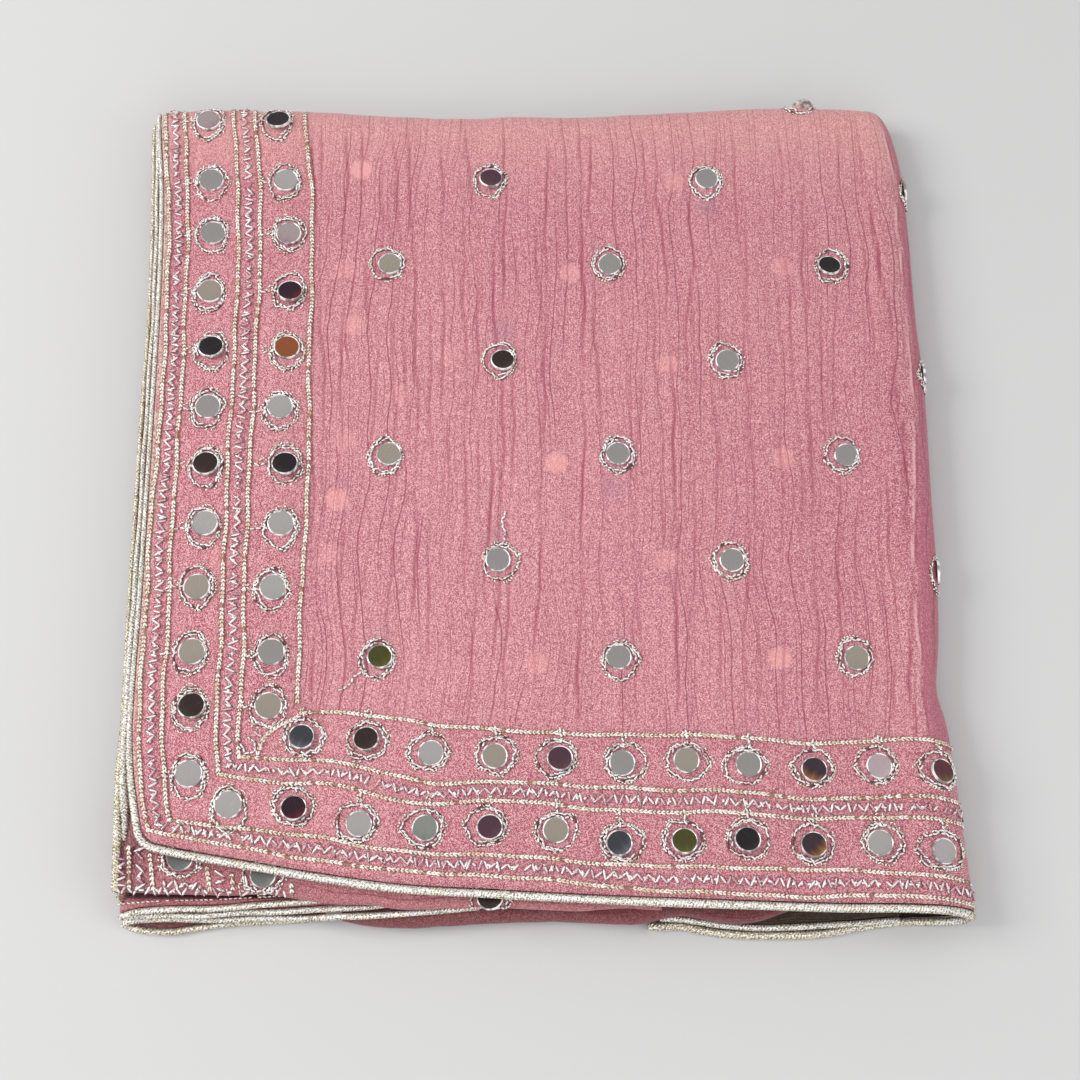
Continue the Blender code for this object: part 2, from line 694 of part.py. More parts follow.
def left_face(y, level, height):
    """x of the hidden plies' left face: it stands out at each piped edge, with grooves between."""
    seat = EDGE_PIPE_RADIUS + SEAM + 0.1
    profile = (
        (INNER_INSET, LOWEST_PLY_X + FOOT_INSET),
        (FOURTH_PLY_HEIGHT, fourth_ply(y) + seat),
        (0.5 * (FOURTH_PLY_HEIGHT + SECOND_PLY_HEIGHT), fourth_ply(y) + GROOVE_DEPTH),
        (SECOND_PLY_HEIGHT, second_ply_edge(y) + seat),
        (0.5 * (SECOND_PLY_HEIGHT + THIRD_PLY_HEIGHT), third_ply(y) + UPPER_GROOVE_DEPTH),
        (THIRD_PLY_HEIGHT, third_ply(y) + seat),
        (height - INNER_INSET, left_piping(y) + TOP_INSET),
    )
    z = level_height(level, height)
    for (low, x_low), (high, x_high) in zip(profile, profile[1:]):
        if z <= high:
            return x_low + (x_high - x_low) * ramp(z, low, high)
    return profile[-1][1]


def nose_reach(x, level, height):
    """How far the hidden plies reach into the upper or the lower back fold at a level."""
    z = level_height(level, height)
    under = min(z, height - z)
    inner_radius = NOSE_RADIUS - INNER_INSET
    share = (under - NOSE_RADIUS) / inner_radius
    if abs(share) > 1.0:
        return -1.0
    return (back_fold(x) - NOSE_START - INNER_INSET - 0.5) * math.sqrt(1.0 - share * share)


def hidden_ring(level):
    """One level of the hidden plies, anticlockwise from the back left corner."""
    back_y = NOSE_START - 2.0
    ring = []
    for y in steps(back_y, SIDE_FRONT, 17):
        ring.append((left_face(y, level, top_height(TOP_LEFT, y)), y))
    first_front = ring[-1][0] + 3.0
    for x in steps(first_front, BEND_START - 2.0, 19):
        groove = FRONT_GROOVE * math.cos(level * 6.0 * math.pi)
        ring.append((x, front_piping(x) + FRONT_RECESS + groove))
    bulge = math.sqrt(max(0.0, 1.0 - (2.0 * level - 1.0)**2))
    for y in steps(front_piping(BEND_START) + FRONT_RECESS + 3.0, back_y, 14):
        ring.append((BEND_START + (right_fold(y) - BEND_START - INNER_INSET - 0.4) * bulge, y))
    left_end = left_face(back_y, level, top_height(TOP_LEFT, back_y)) + 2.0
    for x in steps(BEND_START - 1.0, left_end, 20):
        ring.append((x, NOSE_START + nose_reach(x, level, top_height(x, NOSE_START))))
    return ring


def build_hidden_plies(finish):
    """The plies out of sight, as one rounded solid with layered edges."""
    levels = steps(0.0, 1.0, HIDDEN_LEVELS)
    rings = [hidden_ring(level) for level in levels]
    points = []
    for level, ring in zip(levels, rings):
        for x, y in ring:
            height = top_height(min(x, BEND_START), min(y, NOSE_START))
            points.append((x, y, level_height(level, height)))
    count = len(rings[0])
    faces = []
    for k in range(HIDDEN_LEVELS):
        for i in range(count):
            j = (i + 1) % count
            a, b = k * count + i, k * count + j
            faces += [(a, b, b + count), (a, b + count, a + count)]
    faces += [tuple(reversed(face)) for face in fill(rings[0], [])]
    top = rings[-1]
    across, deep = grid_zones()[0]
    middle = [(x, y) for x in across for y in deep
              if inside((x, y), top) and distance_to_loop((x, y), top) > CAP_CLEAR]
    base = HIDDEN_LEVELS * count
    extra = len(points)
    for x, y in middle:
        points.append((x, y, top_height(x, y) - INNER_INSET))
    for face in fill(top, middle):
        faces.append(tuple(base + i if i < count else extra + i - count for i in face))
    return solid("hidden_plies", points, faces, finish)


# ------------------------------------------------------------------ the small folds at the front


def build_front_lip(name, rows, rise, finish):
    """A ply folded at its front: an upper leaf, a round nose and a lower leaf."""
    nose = curve_through(rows, 1)
    middle = curve_through(rows, 2)
    half = curve_through(rows, 3)
    first, last = rows[0][0], rows[-1][0]
    outer, inner = [], []
    for x in steps(first, last, round((last - first) / LIP_STEP)):
        back = front_piping(x) + LEAF_BACK
        for grid, inset in ((outer, 0.0), (inner, LEAF)):
            radius = half(x) - inset
            centre = nose(x) + half(x)
            row = []
            for share in (0.0, 0.5):
                y = back + (centre - back) * share
                row.append(Vector((x, y, middle(x) + radius + rise * (1.0 - share))))
            for angle in steps(90.0, -90.0, 7):
                turn = math.radians(angle)
                row.append(Vector((x, centre - radius * math.cos(turn),
                                   middle(x) + radius * math.sin(turn))))
            for share in (0.5, 1.0):
                row.append(Vector((x, centre + (back - centre) * share, middle(x) - radius)))
            grid.append(row)
    return wall_from_grids(name, outer, inner, finish)


def build_side_loop(name, path, radius, finish):
    """A ply behind a piped edge, folded with it: leaves reach back from the piping's path."""
    outer, inner = [], []
    for i, place in enumerate(path):
        before = path[max(i - 1, 0)]
        after = path[min(i + 1, len(path) - 1)]
        along = Vector((after[0] - before[0], 0.0, after[2] - before[2])).normalized()
        side = Vector((along.z, 0.0, -along.x))
        front = place[1] + radius + SEAM
        back = front_piping(place[0]) + LEAF_BACK
        for grid, offset in ((outer, 0.5 * LEAF), (inner, -0.5 * LEAF)):
            moved = Vector((place[0], 0.0, place[2])) + side * offset
            grid.append([Vector((moved.x, y, moved.z)) for y in steps(front, back, 2)])
    return wall_from_grids(name, outer, inner, finish)


def side_path(edge, height, front_y):
    """A piped edge down the left side at one height."""
    count = round((SIDE_BACK - front_y) / SIDE_PIPE_STEP)
    return [Vector((edge(y), y, height)) for y in steps(SIDE_BACK, front_y, count)]


def second_piping_path():
    """The second ply's piped edge: down the left side, up onto its leaf and over its nose."""
    nose_y, middle, half = SECOND_PLY[0][1:]
    path = []
    leaf = middle + half - 0.3
    for y in steps(SIDE_BACK, -142.0, 24):
        climb = ramp(-y, 84.0, 130.0)
        height = SECOND_PLY_HEIGHT + (leaf - SECOND_PLY_HEIGHT) * climb
        path.append(Vector((second_ply_edge(y), y, height)))
    centre = nose_y + half
    for angle in (60.0, 30.0, 0.0, -30.0, -60.0):
        turn = math.radians(angle)
        path.append(Vector((second_ply_edge(-150.0), centre - (half - 0.4) * math.cos(turn),
                            middle + (half - 0.4) * math.sin(turn))))
    return path


def main():
    for old in list(bpy.data.objects):
        bpy.data.objects.remove(old, do_unlink=True)

    rose = material("rose_tissue", ROSE, 0.55, 0.1)
    deep_rose = material("deep_rose_tissue", DEEP_ROSE, 0.6, 0.1)
    shade = material("shaded_plies", SHADE_ROSE, 0.7, 0.05)
    metal = material("silver_gold_piping", SILVER_GOLD, 0.4, 0.7)

    build_top_ply(rose)
    build_top_piping(metal)
    build_hidden_plies(shade)

    build_front_lip("second_ply", SECOND_PLY, 1.2, rose)
    build_front_lip("front_fold", FRONT_FOLD, 0.0, deep_rose)

    upper = resample(UPPER_LOOP, LOOP_STEP)
    lower = resample(LOWER_LOOP, LOOP_STEP)
    inner = resample(INNER_RETURN, PIPE_STEP)
    build_side_loop("upper_loop", upper, LOOP_PIPE_RADIUS, rose)
    build_side_loop("lower_loop", lower, LOOP_PIPE_RADIUS, deep_rose)
    build_side_loop("inner_return", inner, LOOP_PIPE_RADIUS, shade)
    upper_path = resample(UPPER_LOOP + UPPER_LOOP_TAIL, LOOP_STEP)
    lower_path = resample(LOWER_LOOP_HEAD + LOWER_LOOP, LOOP_STEP)
    piping("upper_loop_piping", upper_path, LOOP_PIPE_RADIUS, metal)
    piping("lower_loop_piping", lower_path, LOOP_PIPE_RADIUS, metal)
    piping("inner_return_piping", inner, LOOP_PIPE_RADIUS, metal)

    edges = (
        ("third_ply_piping", side_path(third_ply, THIRD_PLY_HEIGHT, THIRD_PLY_FRONT)),
        ("second_ply_piping", second_piping_path()),
        ("fourth_ply_piping", side_path(fourth_ply, FOURTH_PLY_HEIGHT, SIDE_FRONT)),
        ("lowest_ply_piping", side_path(lambda y: LOWEST_PLY_X, LOWEST_PLY_HEIGHT, SIDE_FRONT)),
    )
    for name, path in edges:
        piping(name, path, EDGE_PIPE_RADIUS, metal)


main()
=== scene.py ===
"""The looks of a dupatta stole of crinkled tissue, folded into a flat square packet.

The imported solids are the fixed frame. Every ply, piping and row of stitches is made over them from
the same sizes: tables are in millimetres, x to the right, y to the back and z up from the table, and
finished pieces are in metres with the packet's middle at the origin.
"""

import logging
import math
from dataclasses import dataclass, field
from enum import Enum
from typing import Any, Callable, Iterable, Sequence

import bmesh
import bpy
import numpy as np
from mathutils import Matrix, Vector
from mathutils.geometry import delaunay_2d_cdt


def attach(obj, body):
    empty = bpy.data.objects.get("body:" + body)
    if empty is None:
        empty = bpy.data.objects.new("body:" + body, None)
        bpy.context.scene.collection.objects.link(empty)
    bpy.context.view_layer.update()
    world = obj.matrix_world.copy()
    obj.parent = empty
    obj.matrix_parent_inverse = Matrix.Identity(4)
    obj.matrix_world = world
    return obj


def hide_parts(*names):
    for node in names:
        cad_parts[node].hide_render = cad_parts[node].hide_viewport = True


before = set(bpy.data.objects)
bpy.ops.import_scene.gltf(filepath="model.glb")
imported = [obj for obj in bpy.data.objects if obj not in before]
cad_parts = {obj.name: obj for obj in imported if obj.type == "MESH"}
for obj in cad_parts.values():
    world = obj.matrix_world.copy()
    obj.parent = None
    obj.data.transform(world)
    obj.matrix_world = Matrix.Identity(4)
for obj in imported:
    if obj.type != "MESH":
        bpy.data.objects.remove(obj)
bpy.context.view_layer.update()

log = logging.getLogger("dupatta")

Array = np.ndarray
Rows = Sequence[Sequence[float]]
Pair = tuple[float, float]
Point = tuple[float, float, float]
Colour = tuple[float, float, float]
Piece = bpy.types.Object
Finish = bpy.types.Material
Tree = bpy.types.NodeTree

MM = 0.001
CENTRE = (-1.0, 0.0, 0.0)
UP = (0.0, 0.0, 1.0)

# The packet, as its solids have it. A slope is where a rise or a fall begins and ends, measured
# from the middle
TOP_HEIGHT, LEFT_RISE, FRONT_RISE, RIGHT_FALL, BACK_FALL, WAVE = 20.0, 1.7, 0.7, 1.7, 1.5, 0.3
LEFT_SLOPE, FRONT_SLOPE = (66.0, 104.0), (84.0, 104.0)
RIGHT_SLOPE, BACK_SLOPE = (50.0, 135.0), (40.0, 152.0)
BEND_START, BEND_SPAN, BEND_EDGE = 135.0, 36.0, 20.0
BEND_END = BEND_START + BEND_SPAN
NOSE_START, NOSE_RADIUS, NOSE_SPAN = 152.0, 3.9, 26.0
NOSE_LAST = NOSE_START + NOSE_SPAN * 165.0 / 180.0
LOWEST_PLY_X = -149.8
UNDER_LEFT = BEND_START + BEND_END - LOWEST_PLY_X
UNDER_PIPING_END = BEND_START + BEND_END - 41.0
PIPE_RADIUS, EDGE_PIPE_RADIUS, LOOP_PIPE_RADIUS = 1.5, 1.25, 1.15
SEAM, SEAM_DEPTH = 0.3, 0.6
CORNER_RADIUS, CORNER_FRONT = 4.2, -134.0
LEAF_BACK = 8.3
# The border: width of the worked band, and the last x of its front lines
BORDER_WIDTH, LAST_LINE_X = 60.0, 152.0
# Distance from the edge that a ply without a border gives its cloth
FAR_FROM_EDGE = 80.0
# A cord under stitches: share of its radius that it is sunk, spacing of its rings and its sides
CORD_SUNK, CORD_SPACING, CORD_SIDES = 0.55, 1.0, 6
# The side pipings begin here at the back, and the second ply's lies this high there
SIDE_BACK, SECOND_HEIGHT = 159.2, 10.9

# Left side: x of each piped edge, columns: y, top ply, third ply, second ply, fourth ply
LEFT_EDGES: Rows = (
    (176.0, -154.2, -154.6, -157.2, -155.6),
    (150.0, -151.8, -153.1, -155.9, -154.5),
    (120.0, -148.5, -151.2, -153.9, -152.8),
    (78.0, -146.4, -149.2, -152.1, -151.1),
    (32.0, -145.4, -148.4, -151.6, -150.4),
    (-8.0, -144.8, -147.8, -151.0, -149.9),
    (-47.0, -144.3, -147.3, -150.4, -149.5),
    (-90.0, -144.1, -146.7, -149.0, -148.6),
    (-110.0, -142.4, -146.0, -148.3, -147.8),
    (-124.0, -139.8, -144.9, -147.0, -146.8),
    (-150.0, -134.0, -142.6, -145.8, -145.5),
)
# Front edge of the top ply, and the same edge turned under the packet, columns: x, y
FRONT_EDGE: Rows = (
    (-160.0, -128.0), (-141.0, -134.4), (-125.0, -138.4), (-102.0, -142.4), (-74.0, -146.9),
    (-46.0, -150.6), (-18.0, -152.2), (23.0, -154.3), (65.0, -155.8), (106.0, -157.0),
    (135.0, -157.3), (147.0, -158.9), (155.0, -160.7),
)
UNDER_EDGE: Rows = (
    (-160.0, -124.0), (-125.0, -130.6), (-70.0, -139.0), (-26.0, -142.8), (17.0, -145.2),
    (25.0, -146.6), (31.0, -150.5), (36.5, -158.0), (41.0, -161.6), (52.0, -161.8), (62.0, -163.6),
    (73.0, -164.7), (85.0, -164.9), (102.0, -164.4), (114.0, -162.5), (127.0, -160.7),
    (135.0, -160.3), (155.0, -160.7),
)
# The right fold, columns: y, x. The back fold, columns: x, y
RIGHT_FOLD: Rows = (
    (-166.0, 155.5), (-141.0, 154.1), (-115.0, 152.5), (-97.0, 151.3), (-88.0, 150.0),
    (-79.0, 148.0), (-69.0, 149.0), (-56.0, 150.5), (-31.0, 151.6), (-2.0, 151.8),
    (29.0, 152.4), (50.0, 152.2), (70.0, 151.3), (105.0, 151.2), (124.0, 150.8),
    (140.0, 149.9), (151.0, 148.0), (166.0, 144.8), (180.0, 143.0),
)
BACK_FOLD: Rows = (
    (-160.0, 160.5), (-150.0, 161.2), (-132.0, 162.6), (-104.0, 162.0), (-82.0, 162.0),
    (-54.0, 160.5), (-28.0, 159.6), (-6.0, 160.5), (16.0, 160.0), (43.0, 161.6),
    (65.0, 163.0), (85.0, 164.7), (104.0, 165.6), (120.0, 165.3), (135.0, 164.5),
    (150.0, 162.0), (160.0, 160.0),
)
# Gold chain lines, distance in from the piping: down the left side, columns: y, five lines
SIDE_LINES: Rows = (
    (165.0, 2.6, 10.5, 30.6, 39.5, 59.6),
    (150.0, 2.6, 10.5, 30.6, 39.5, 59.7),
    (96.0, 3.4, 10.7, 30.7, 39.4, 59.8),
    (62.0, 3.7, 10.8, 30.7, 38.8, 59.3),
    (28.0, 3.9, 11.0, 30.3, 38.6, 59.8),
    (-4.0, 2.7, 10.5, 30.2, 38.4, 60.5),
    (-35.0, 2.6, 10.8, 30.6, 38.3, 59.4),
    (-66.0, 3.2, 11.5, 30.9, 39.3, 59.5),
    (-95.0, 3.4, 11.6, 31.1, 39.1, 59.2),
    (-124.0, 4.0, 12.1, 30.5, 38.8, 59.3),
)
# and along the front, columns: x, the same five lines
FRONT_LINES: Rows = (
    (-140.0, 5.6, 10.6, 29.4, 36.2, 54.0),
    (-116.0, 5.8, 11.2, 29.8, 36.5, 55.0),
    (-90.0, 5.7, 13.2, 30.5, 38.6, 55.5),
    (-76.0, 6.1, 14.0, 32.4, 40.5, 58.1),
    (-62.0, 6.0, 12.9, 32.3, 40.8, 59.8),
    (-47.0, 6.0, 12.8, 30.2, 39.0, 59.4),
    (-33.0, 6.3, 13.1, 30.5, 37.2, 57.9),
    (-4.0, 6.0, 13.2, 32.5, 39.5, 57.8),
    (24.0, 4.9, 12.5, 31.2, 38.9, 57.5),
    (52.0, 3.7, 12.1, 30.8, 38.8, 58.8),
    (67.0, 3.7, 12.6, 32.2, 39.7, 58.8),
    (95.0, 3.6, 12.8, 30.2, 37.2, 57.2),
    (124.0, 4.2, 12.2, 31.5, 38.8, 58.8),
    (152.0, 3.6, 11.2, 31.3, 38.9, 59.6),
)
# The curl where the innermost front line begins, columns: x, y
CURL: Rows = ((-97.6, -103.5), (-96.9, -100.6), (-94.9, -96.9), (-90.3, -93.3), (-84.5, -90.6))

# The longest crinkles, columns: x and y at the back, x in the middle, x and y in front, depth
CRINKLES: Rows = (
    (18.7, 152.0, 19.2, 16.1, -92.0, 0.42),
    (47.9, 152.0, 53.4, 51.2, -93.0, 0.40),
    (-16.8, 137.0, -15.1, -18.0, -54.0, 0.40),
    (5.3, 146.0, 4.0, 0.0, -93.0, 0.33),
    (-12.1, 152.0, -11.3, -13.9, -67.0, 0.34),
    (108.0, 152.0, 105.4, 103.2, -92.0, 0.32),
    (-51.9, 152.0, -44.8, -44.2, -60.0, 0.33),
    (80.0, 152.0, 81.7, 75.2, -93.0, 0.28),
    (-90.8, 152.0, -82.2, -78.4, -19.0, 0.34),
    (-75.8, 152.0, -74.1, -72.7, -12.0, 0.33),
    (22.8, 150.0, 23.9, 27.6, -12.0, 0.33),
    (30.1, 152.0, 36.6, 36.7, -87.0, 0.26),
    (-6.2, 96.0, -8.1, -10.4, -93.0, 0.30),
    (-86.0, 72.0, -82.4, -78.8, -92.0, 0.30),
    (-57.8, 120.0, -52.9, -54.1, -92.0, 0.24),
    (-37.1, 144.0, -35.2, -33.4, -12.0, 0.30),
    (-42.5, 96.0, -38.3, -39.8, -92.0, 0.26),
    (99.9, 152.0, 100.0, 102.1, -19.0, 0.27),
    (-28.8, 128.0, -25.9, -25.4, -47.0, 0.26),
    (84.3, 128.0, 83.2, 81.7, -92.0, 0.22),
    (96.5, 80.0, 93.4, 89.9, -92.0, 0.23),
    (-28.3, 152.0, -21.9, -22.7, 25.0, 0.28),
    (116.0, 12.0, 113.1, 112.2, -92.0, 0.30),
    (132.9, 5.0, 132.9, 130.4, -92.0, 0.30),
    (59.7, 152.0, 62.6, 61.4, 32.0, 0.28),
    (43.5, 152.0, 47.0, 48.9, -26.0, 0.23),
    (-57.9, 152.0, -50.8, -48.0, 3.0, 0.24),
    (69.1, 57.0, 69.2, 67.7, -92.0, 0.23),
    (-60.3, 136.0, -60.3, -61.4, -47.0, 0.22),
    (-70.5, 152.0, -67.6, -64.3, 62.0, 0.32),
    (-20.7, 19.0, -20.4, -24.0, -92.0, 0.25),
    (61.7, 5.0, 58.7, 55.2, -92.0, 0.27),
    (-85.9, 152.0, -84.1, -81.5, 102.0, 0.38),
    (73.5, 152.0, 72.2, 73.4, 25.0, 0.24),
    (61.1, 88.0, 59.4, 58.7, 3.0, 0.28),
    (41.8, 49.0, 39.0, 39.6, -67.0, 0.22),
    (-63.0, 12.0, -65.4, -63.3, -87.0, 0.24),
    (112.6, 104.0, 111.6, 108.8, -12.0, 0.22),
    (-70.2, -17.0, -72.6, -76.0, -92.0, 0.25),
    (0.5, 112.0, 2.9, 2.5, 10.0, 0.26),
    (127.2, 27.0, 119.8, 116.5, -92.0, 0.20),
    (123.7, 150.0, 118.6, 111.1, 3.0, 0.21),
    (133.1, 42.0, 130.0, 129.0, -67.0, 0.20),
    (132.8, 150.0, 131.8, 131.7, 47.0, 0.24),
    (132.0, 153.0, 138.5, 136.0, -92.0, 0.42),
    (147.0, 150.0, 148.2, 146.5, 16.0, 0.36),
    (149.0, -4.0, 147.0, 148.0, -90.0, 0.30),
    (-136.0, 150.0, -138.5, -137.5, 24.0, 0.14),
    (-112.5, 152.0, -110.0, -110.5, 10.0, 0.16),
    (-109.0, 2.0, -111.0, -108.5, -88.0, 0.14),
    (-138.5, -4.0, -136.0, -134.5, -96.0, 0.14),
)

# The folds at the front, columns: x, y of the nose, middle height, half height
SECOND_PLY: Rows = (
    (-145.6, -151.0, 14.3, 2.5), (-132.0, -151.8, 14.3, 2.6), (-120.0, -152.1, 14.3, 2.6),
    (-107.0, -152.4, 14.3, 2.6), (-93.0, -152.0, 14.3, 2.6), (-82.0, -153.6, 14.3, 2.6),
    (-70.0, -155.4, 14.3, 2.5), (-57.0, -155.6, 14.1, 2.4), (-46.0, -157.1, 14.0, 2.3),
    (-30.0, -156.9, 13.9, 2.3), (-16.0, -156.5, 13.9, 2.3), (2.0, -157.2, 13.9, 2.3),
    (17.0, -157.7, 13.9, 2.3), (30.0, -156.8, 13.9, 2.2), (45.0, -157.4, 13.9, 2.1),
)
FRONT_FOLD: Rows = (
    (-67.5, -160.2, 3.6, 2.8), (-58.0, -162.1, 4.3, 3.9), (-44.0, -162.8, 4.3, 4.0),
    (-30.0, -162.1, 4.3, 4.0), (-18.0, -161.3, 4.3, 4.0), (0.0, -160.7, 4.3, 4.0),
    (14.0, -160.8, 4.4, 4.0), (22.0, -161.2, 5.5, 3.6), (29.0, -161.6, 6.9, 3.1),
    (36.0, -161.8, 8.0, 2.7), (43.0, -160.6, 8.4, 2.6), (52.0, -159.0, 8.8, 2.4),
    (60.0, -160.2, 8.8, 2.4), (72.0, -161.6, 8.8, 2.4), (80.0, -160.6, 8.8, 2.4),
    (88.0, -157.9, 8.8, 2.3), (92.0, -156.6, 8.8, 2.1),
)
# Piped edges of the return folds, columns: x, y, z
UPPER_LOOP: Rows = (
    (-64.0, -152.2, 9.9), (-71.0, -152.9, 10.2), (-79.0, -153.9, 10.4), (-98.0, -155.3, 10.5),
    (-112.0, -156.5, 10.5), (-125.0, -156.6, 10.5), (-138.5, -157.5, 10.5), (-143.4, -158.9, 10.3),
    (-144.9, -159.4, 9.05), (-143.4, -159.2, 7.8), (-131.5, -158.5, 7.6), (-117.0, -158.6, 7.6),
    (-103.0, -157.5, 7.6), (-90.0, -157.3, 7.6), (-79.0, -156.7, 7.8), (-72.0, -156.4, 8.9),
    (-66.0, -156.2, 9.5),
)
UPPER_LOOP_TAIL: Rows = ((-58.0, -155.9, 9.9), (-50.0, -155.2, 10.0), (-47.0, -154.6, 10.0))
LOWER_LOOP: Rows = (
    (-78.0, -159.2, 4.9), (-86.0, -159.2, 4.6), (-99.0, -159.3, 4.6), (-112.5, -159.9, 4.6),
    (-126.0, -159.5, 4.6), (-138.0, -159.8, 4.6), (-143.8, -160.6, 4.4), (-145.4, -161.2, 3.1),
    (-143.0, -162.3, 1.8), (-136.0, -163.5, 1.5), (-128.0, -163.7, 1.5), (-118.0, -162.2, 1.5),
    (-108.0, -160.9, 1.4), (-95.0, -160.2, 1.3), (-83.0, -159.6, 1.3), (-74.0, -159.0, 1.3),
)
LOWER_LOOP_HEAD: Rows = (
    (-19.0, -155.9, 10.0), (-31.0, -157.0, 10.0), (-40.0, -157.7, 10.0), (-49.0, -158.4, 9.9),
    (-60.0, -159.0, 9.7), (-66.5, -159.1, 9.5), (-73.0, -159.2, 7.3),
)
INNER_RETURN: Rows = (
    (45.0, -159.4, 4.6), (52.0, -159.6, 4.6), (60.0, -160.7, 4.6), (68.0, -161.8, 4.6),
    (80.0, -162.6, 4.6), (93.0, -162.3, 4.6), (107.0, -161.5, 4.4), (117.0, -160.9, 4.0),
    (124.0, -160.2, 3.6), (130.0, -159.9, 3.2),
)
# Where the second ply's piping goes out of sight behind the front, columns: x, y, z
SECOND_PIPING_TAIL: Rows = ((-145.7, -152.4, 11.6), (-145.3, -153.4, 11.0), (-144.6, -154.8, 10.6))


class Tone(Enum):
    """What a small mirror gives back, as a painted reflection in its colour: two colours that run into
    each other, and its lean.

    The lean is how many degrees the mirror tips to the back.
    """

    PALE = ((0.42, 0.40, 0.39), (0.36, 0.35, 0.345), 1.0)
    GREY = ((0.31, 0.295, 0.285), (0.34, 0.325, 0.315), 0.0)
    BEIGE = ((0.36, 0.31, 0.26), (0.31, 0.275, 0.25), 1.0)
    ROSE = ((0.40, 0.33, 0.33), (0.34, 0.13, 0.22), 1.0)
    SLATE = ((0.05, 0.05, 0.065), (0.23, 0.235, 0.26), 6.0)
    GREEN = ((0.26, 0.28, 0.25), (0.17, 0.18, 0.14), 2.0)
    OLIVE = ((0.07, 0.07, 0.015), (0.16, 0.145, 0.04), 9.0)
    AMBER = ((0.30, 0.085, 0.03), (0.22, 0.08, 0.05), 4.0)
    EMBER = ((0.05, 0.03, 0.04), (0.66, 0.25, 0.06), 8.0)
    FLAME = ((0.12, 0.035, 0.045), (0.24, 0.20, 0.06), 9.0)
    CREAM = ((0.50, 0.39, 0.43), (0.60, 0.52, 0.42), 0.0)
    CLARET = ((0.03, 0.012, 0.02), (0.22, 0.02, 0.03), 10.0)
    PLUM = ((0.09, 0.038, 0.058), (0.16, 0.075, 0.09), 8.0)
    BROWN = ((0.035, 0.022, 0.018), (0.085, 0.05, 0.038), 9.0)
    DARK = ((0.018, 0.014, 0.017), (0.05, 0.036, 0.04), 11.0)
    SHADE = ((0.16, 0.165, 0.155), (0.30, 0.305, 0.295), 2.0)


T = Tone
# Border mirrors down the left side: y, x and tone of the outer row, x and tone of the inner row
SIDE_MIRRORS: tuple[tuple[float, float, Tone, float, Tone], ...] = (
    (155.0, -132.0, T.ROSE, -103.7, T.DARK),
    (128.0, -129.0, T.GREY, -99.3, T.PALE),
    (104.0, -126.7, T.GREY, -96.9, T.ROSE),
    (78.3, -126.2, T.BEIGE, -95.0, T.CLARET),
    (54.2, -124.2, T.DARK, -95.0, T.AMBER),
    (29.4, -123.8, T.GREY, -96.4, T.PALE),
    (6.2, -123.1, T.BROWN, -93.4, T.DARK),
    (-17.4, -121.9, T.PALE, -93.7, T.PALE),
    (-42.1, -123.3, T.BEIGE, -95.4, T.PALE),
    (-66.4, -123.5, T.BEIGE, -94.8, T.GREY),
    (-86.3, -122.2, T.BROWN, -94.8, T.BEIGE),
    (-110.9, -121.5, T.PALE, -106.9, T.PALE),
)
# Border mirrors along the front: x, y and tone of the inner row, y and tone of the outer row
FRONT_MIRRORS: tuple[tuple[float, float, Tone, float, Tone], ...] = (
    (-82.5, -97.5, T.SLATE, -122.8, T.CLARET),
    (-59.4, -98.2, T.BROWN, -128.3, T.PALE),
    (-36.2, -103.3, T.PALE, -129.7, T.GREEN),
    (-13.6, -104.3, T.BEIGE, -129.4, T.PLUM),
    (9.6, -105.1, T.PLUM, -130.4, T.BEIGE),
    (31.7, -106.8, T.GREY, -134.9, T.SLATE),
    (54.5, -105.8, T.BEIGE, -134.2, T.OLIVE),
    (76.5, -107.2, T.GREY, -133.6, T.DARK),
    (99.7, -109.0, T.EMBER, -135.3, T.EMBER),
    (123.2, -107.6, T.CREAM, -134.6, T.PALE),
    (143.5, -109.0, T.FLAME, -137.4, T.PALE),
)
CORNER_MIRROR_Y = -121.7
# Mirrors of the field, in the cloth: s, t, tone. The last four have gone over the folds
FIELD_MIRRORS: tuple[tuple[float, float, Tone], ...] = (
    (-17.2, 129.6, T.PLUM), (69.4, 129.6, T.GREY),
    (-56.6, 91.0, T.BEIGE), (30.0, 91.0, T.GREY), (116.6, 91.0, T.DARK),
    (-11.8, 49.4, T.BROWN), (74.8, 49.4, T.GREY),
    (-54.6, 10.8, T.BEIGE), (32.0, 10.8, T.GREY), (118.6, 10.8, T.GREY),
    (-13.0, -31.1, T.GREY), (73.6, -31.1, T.GREY),
    (-55.5, -68.0, T.OLIVE), (31.1, -68.0, T.GREY), (117.7, -68.0, T.BEIGE),
    (152.0, 129.0, T.PALE), (152.0, 48.0, T.PALE), (152.0, -33.0, T.PALE), (110.5, 165.8, T.PALE),
)
# Mirrors of the ply below that shine through the tissue, columns: x, y, strength
GHOSTS: Rows = (
    (-69.4, 133.9, 0.95), (56.6, 128.4, 0.55), (14.3, 87.4, 0.55), (98.1, 90.4, 0.5),
    (-69.8, 64.5, 0.55), (-33.0, 51.7, 0.3), (51.8, 47.9, 0.5), (8.5, 7.2, 0.8),
    (94.7, 9.6, 0.6), (-73.5, -7.6, 0.8), (49.5, -31.1, 0.5), (1.4, -70.2, 0.5),
    (89.6, -68.4, 0.8), (-74.2, 89.1, 0.4), (-71.4, 16.5, 0.4), (-51.1, 35.0, 0.3),
    (-75.3, -29.2, 0.35), (-115.1, -31.1, 0.3), (-11.9, 62.3, -0.45), (29.5, -2.8, -0.35),
    (-13.5, -21.4, -0.35), (-56.5, -60.5, -0.3), (69.5, 117.1, -0.45), (30.9, -61.6, -0.25),
)
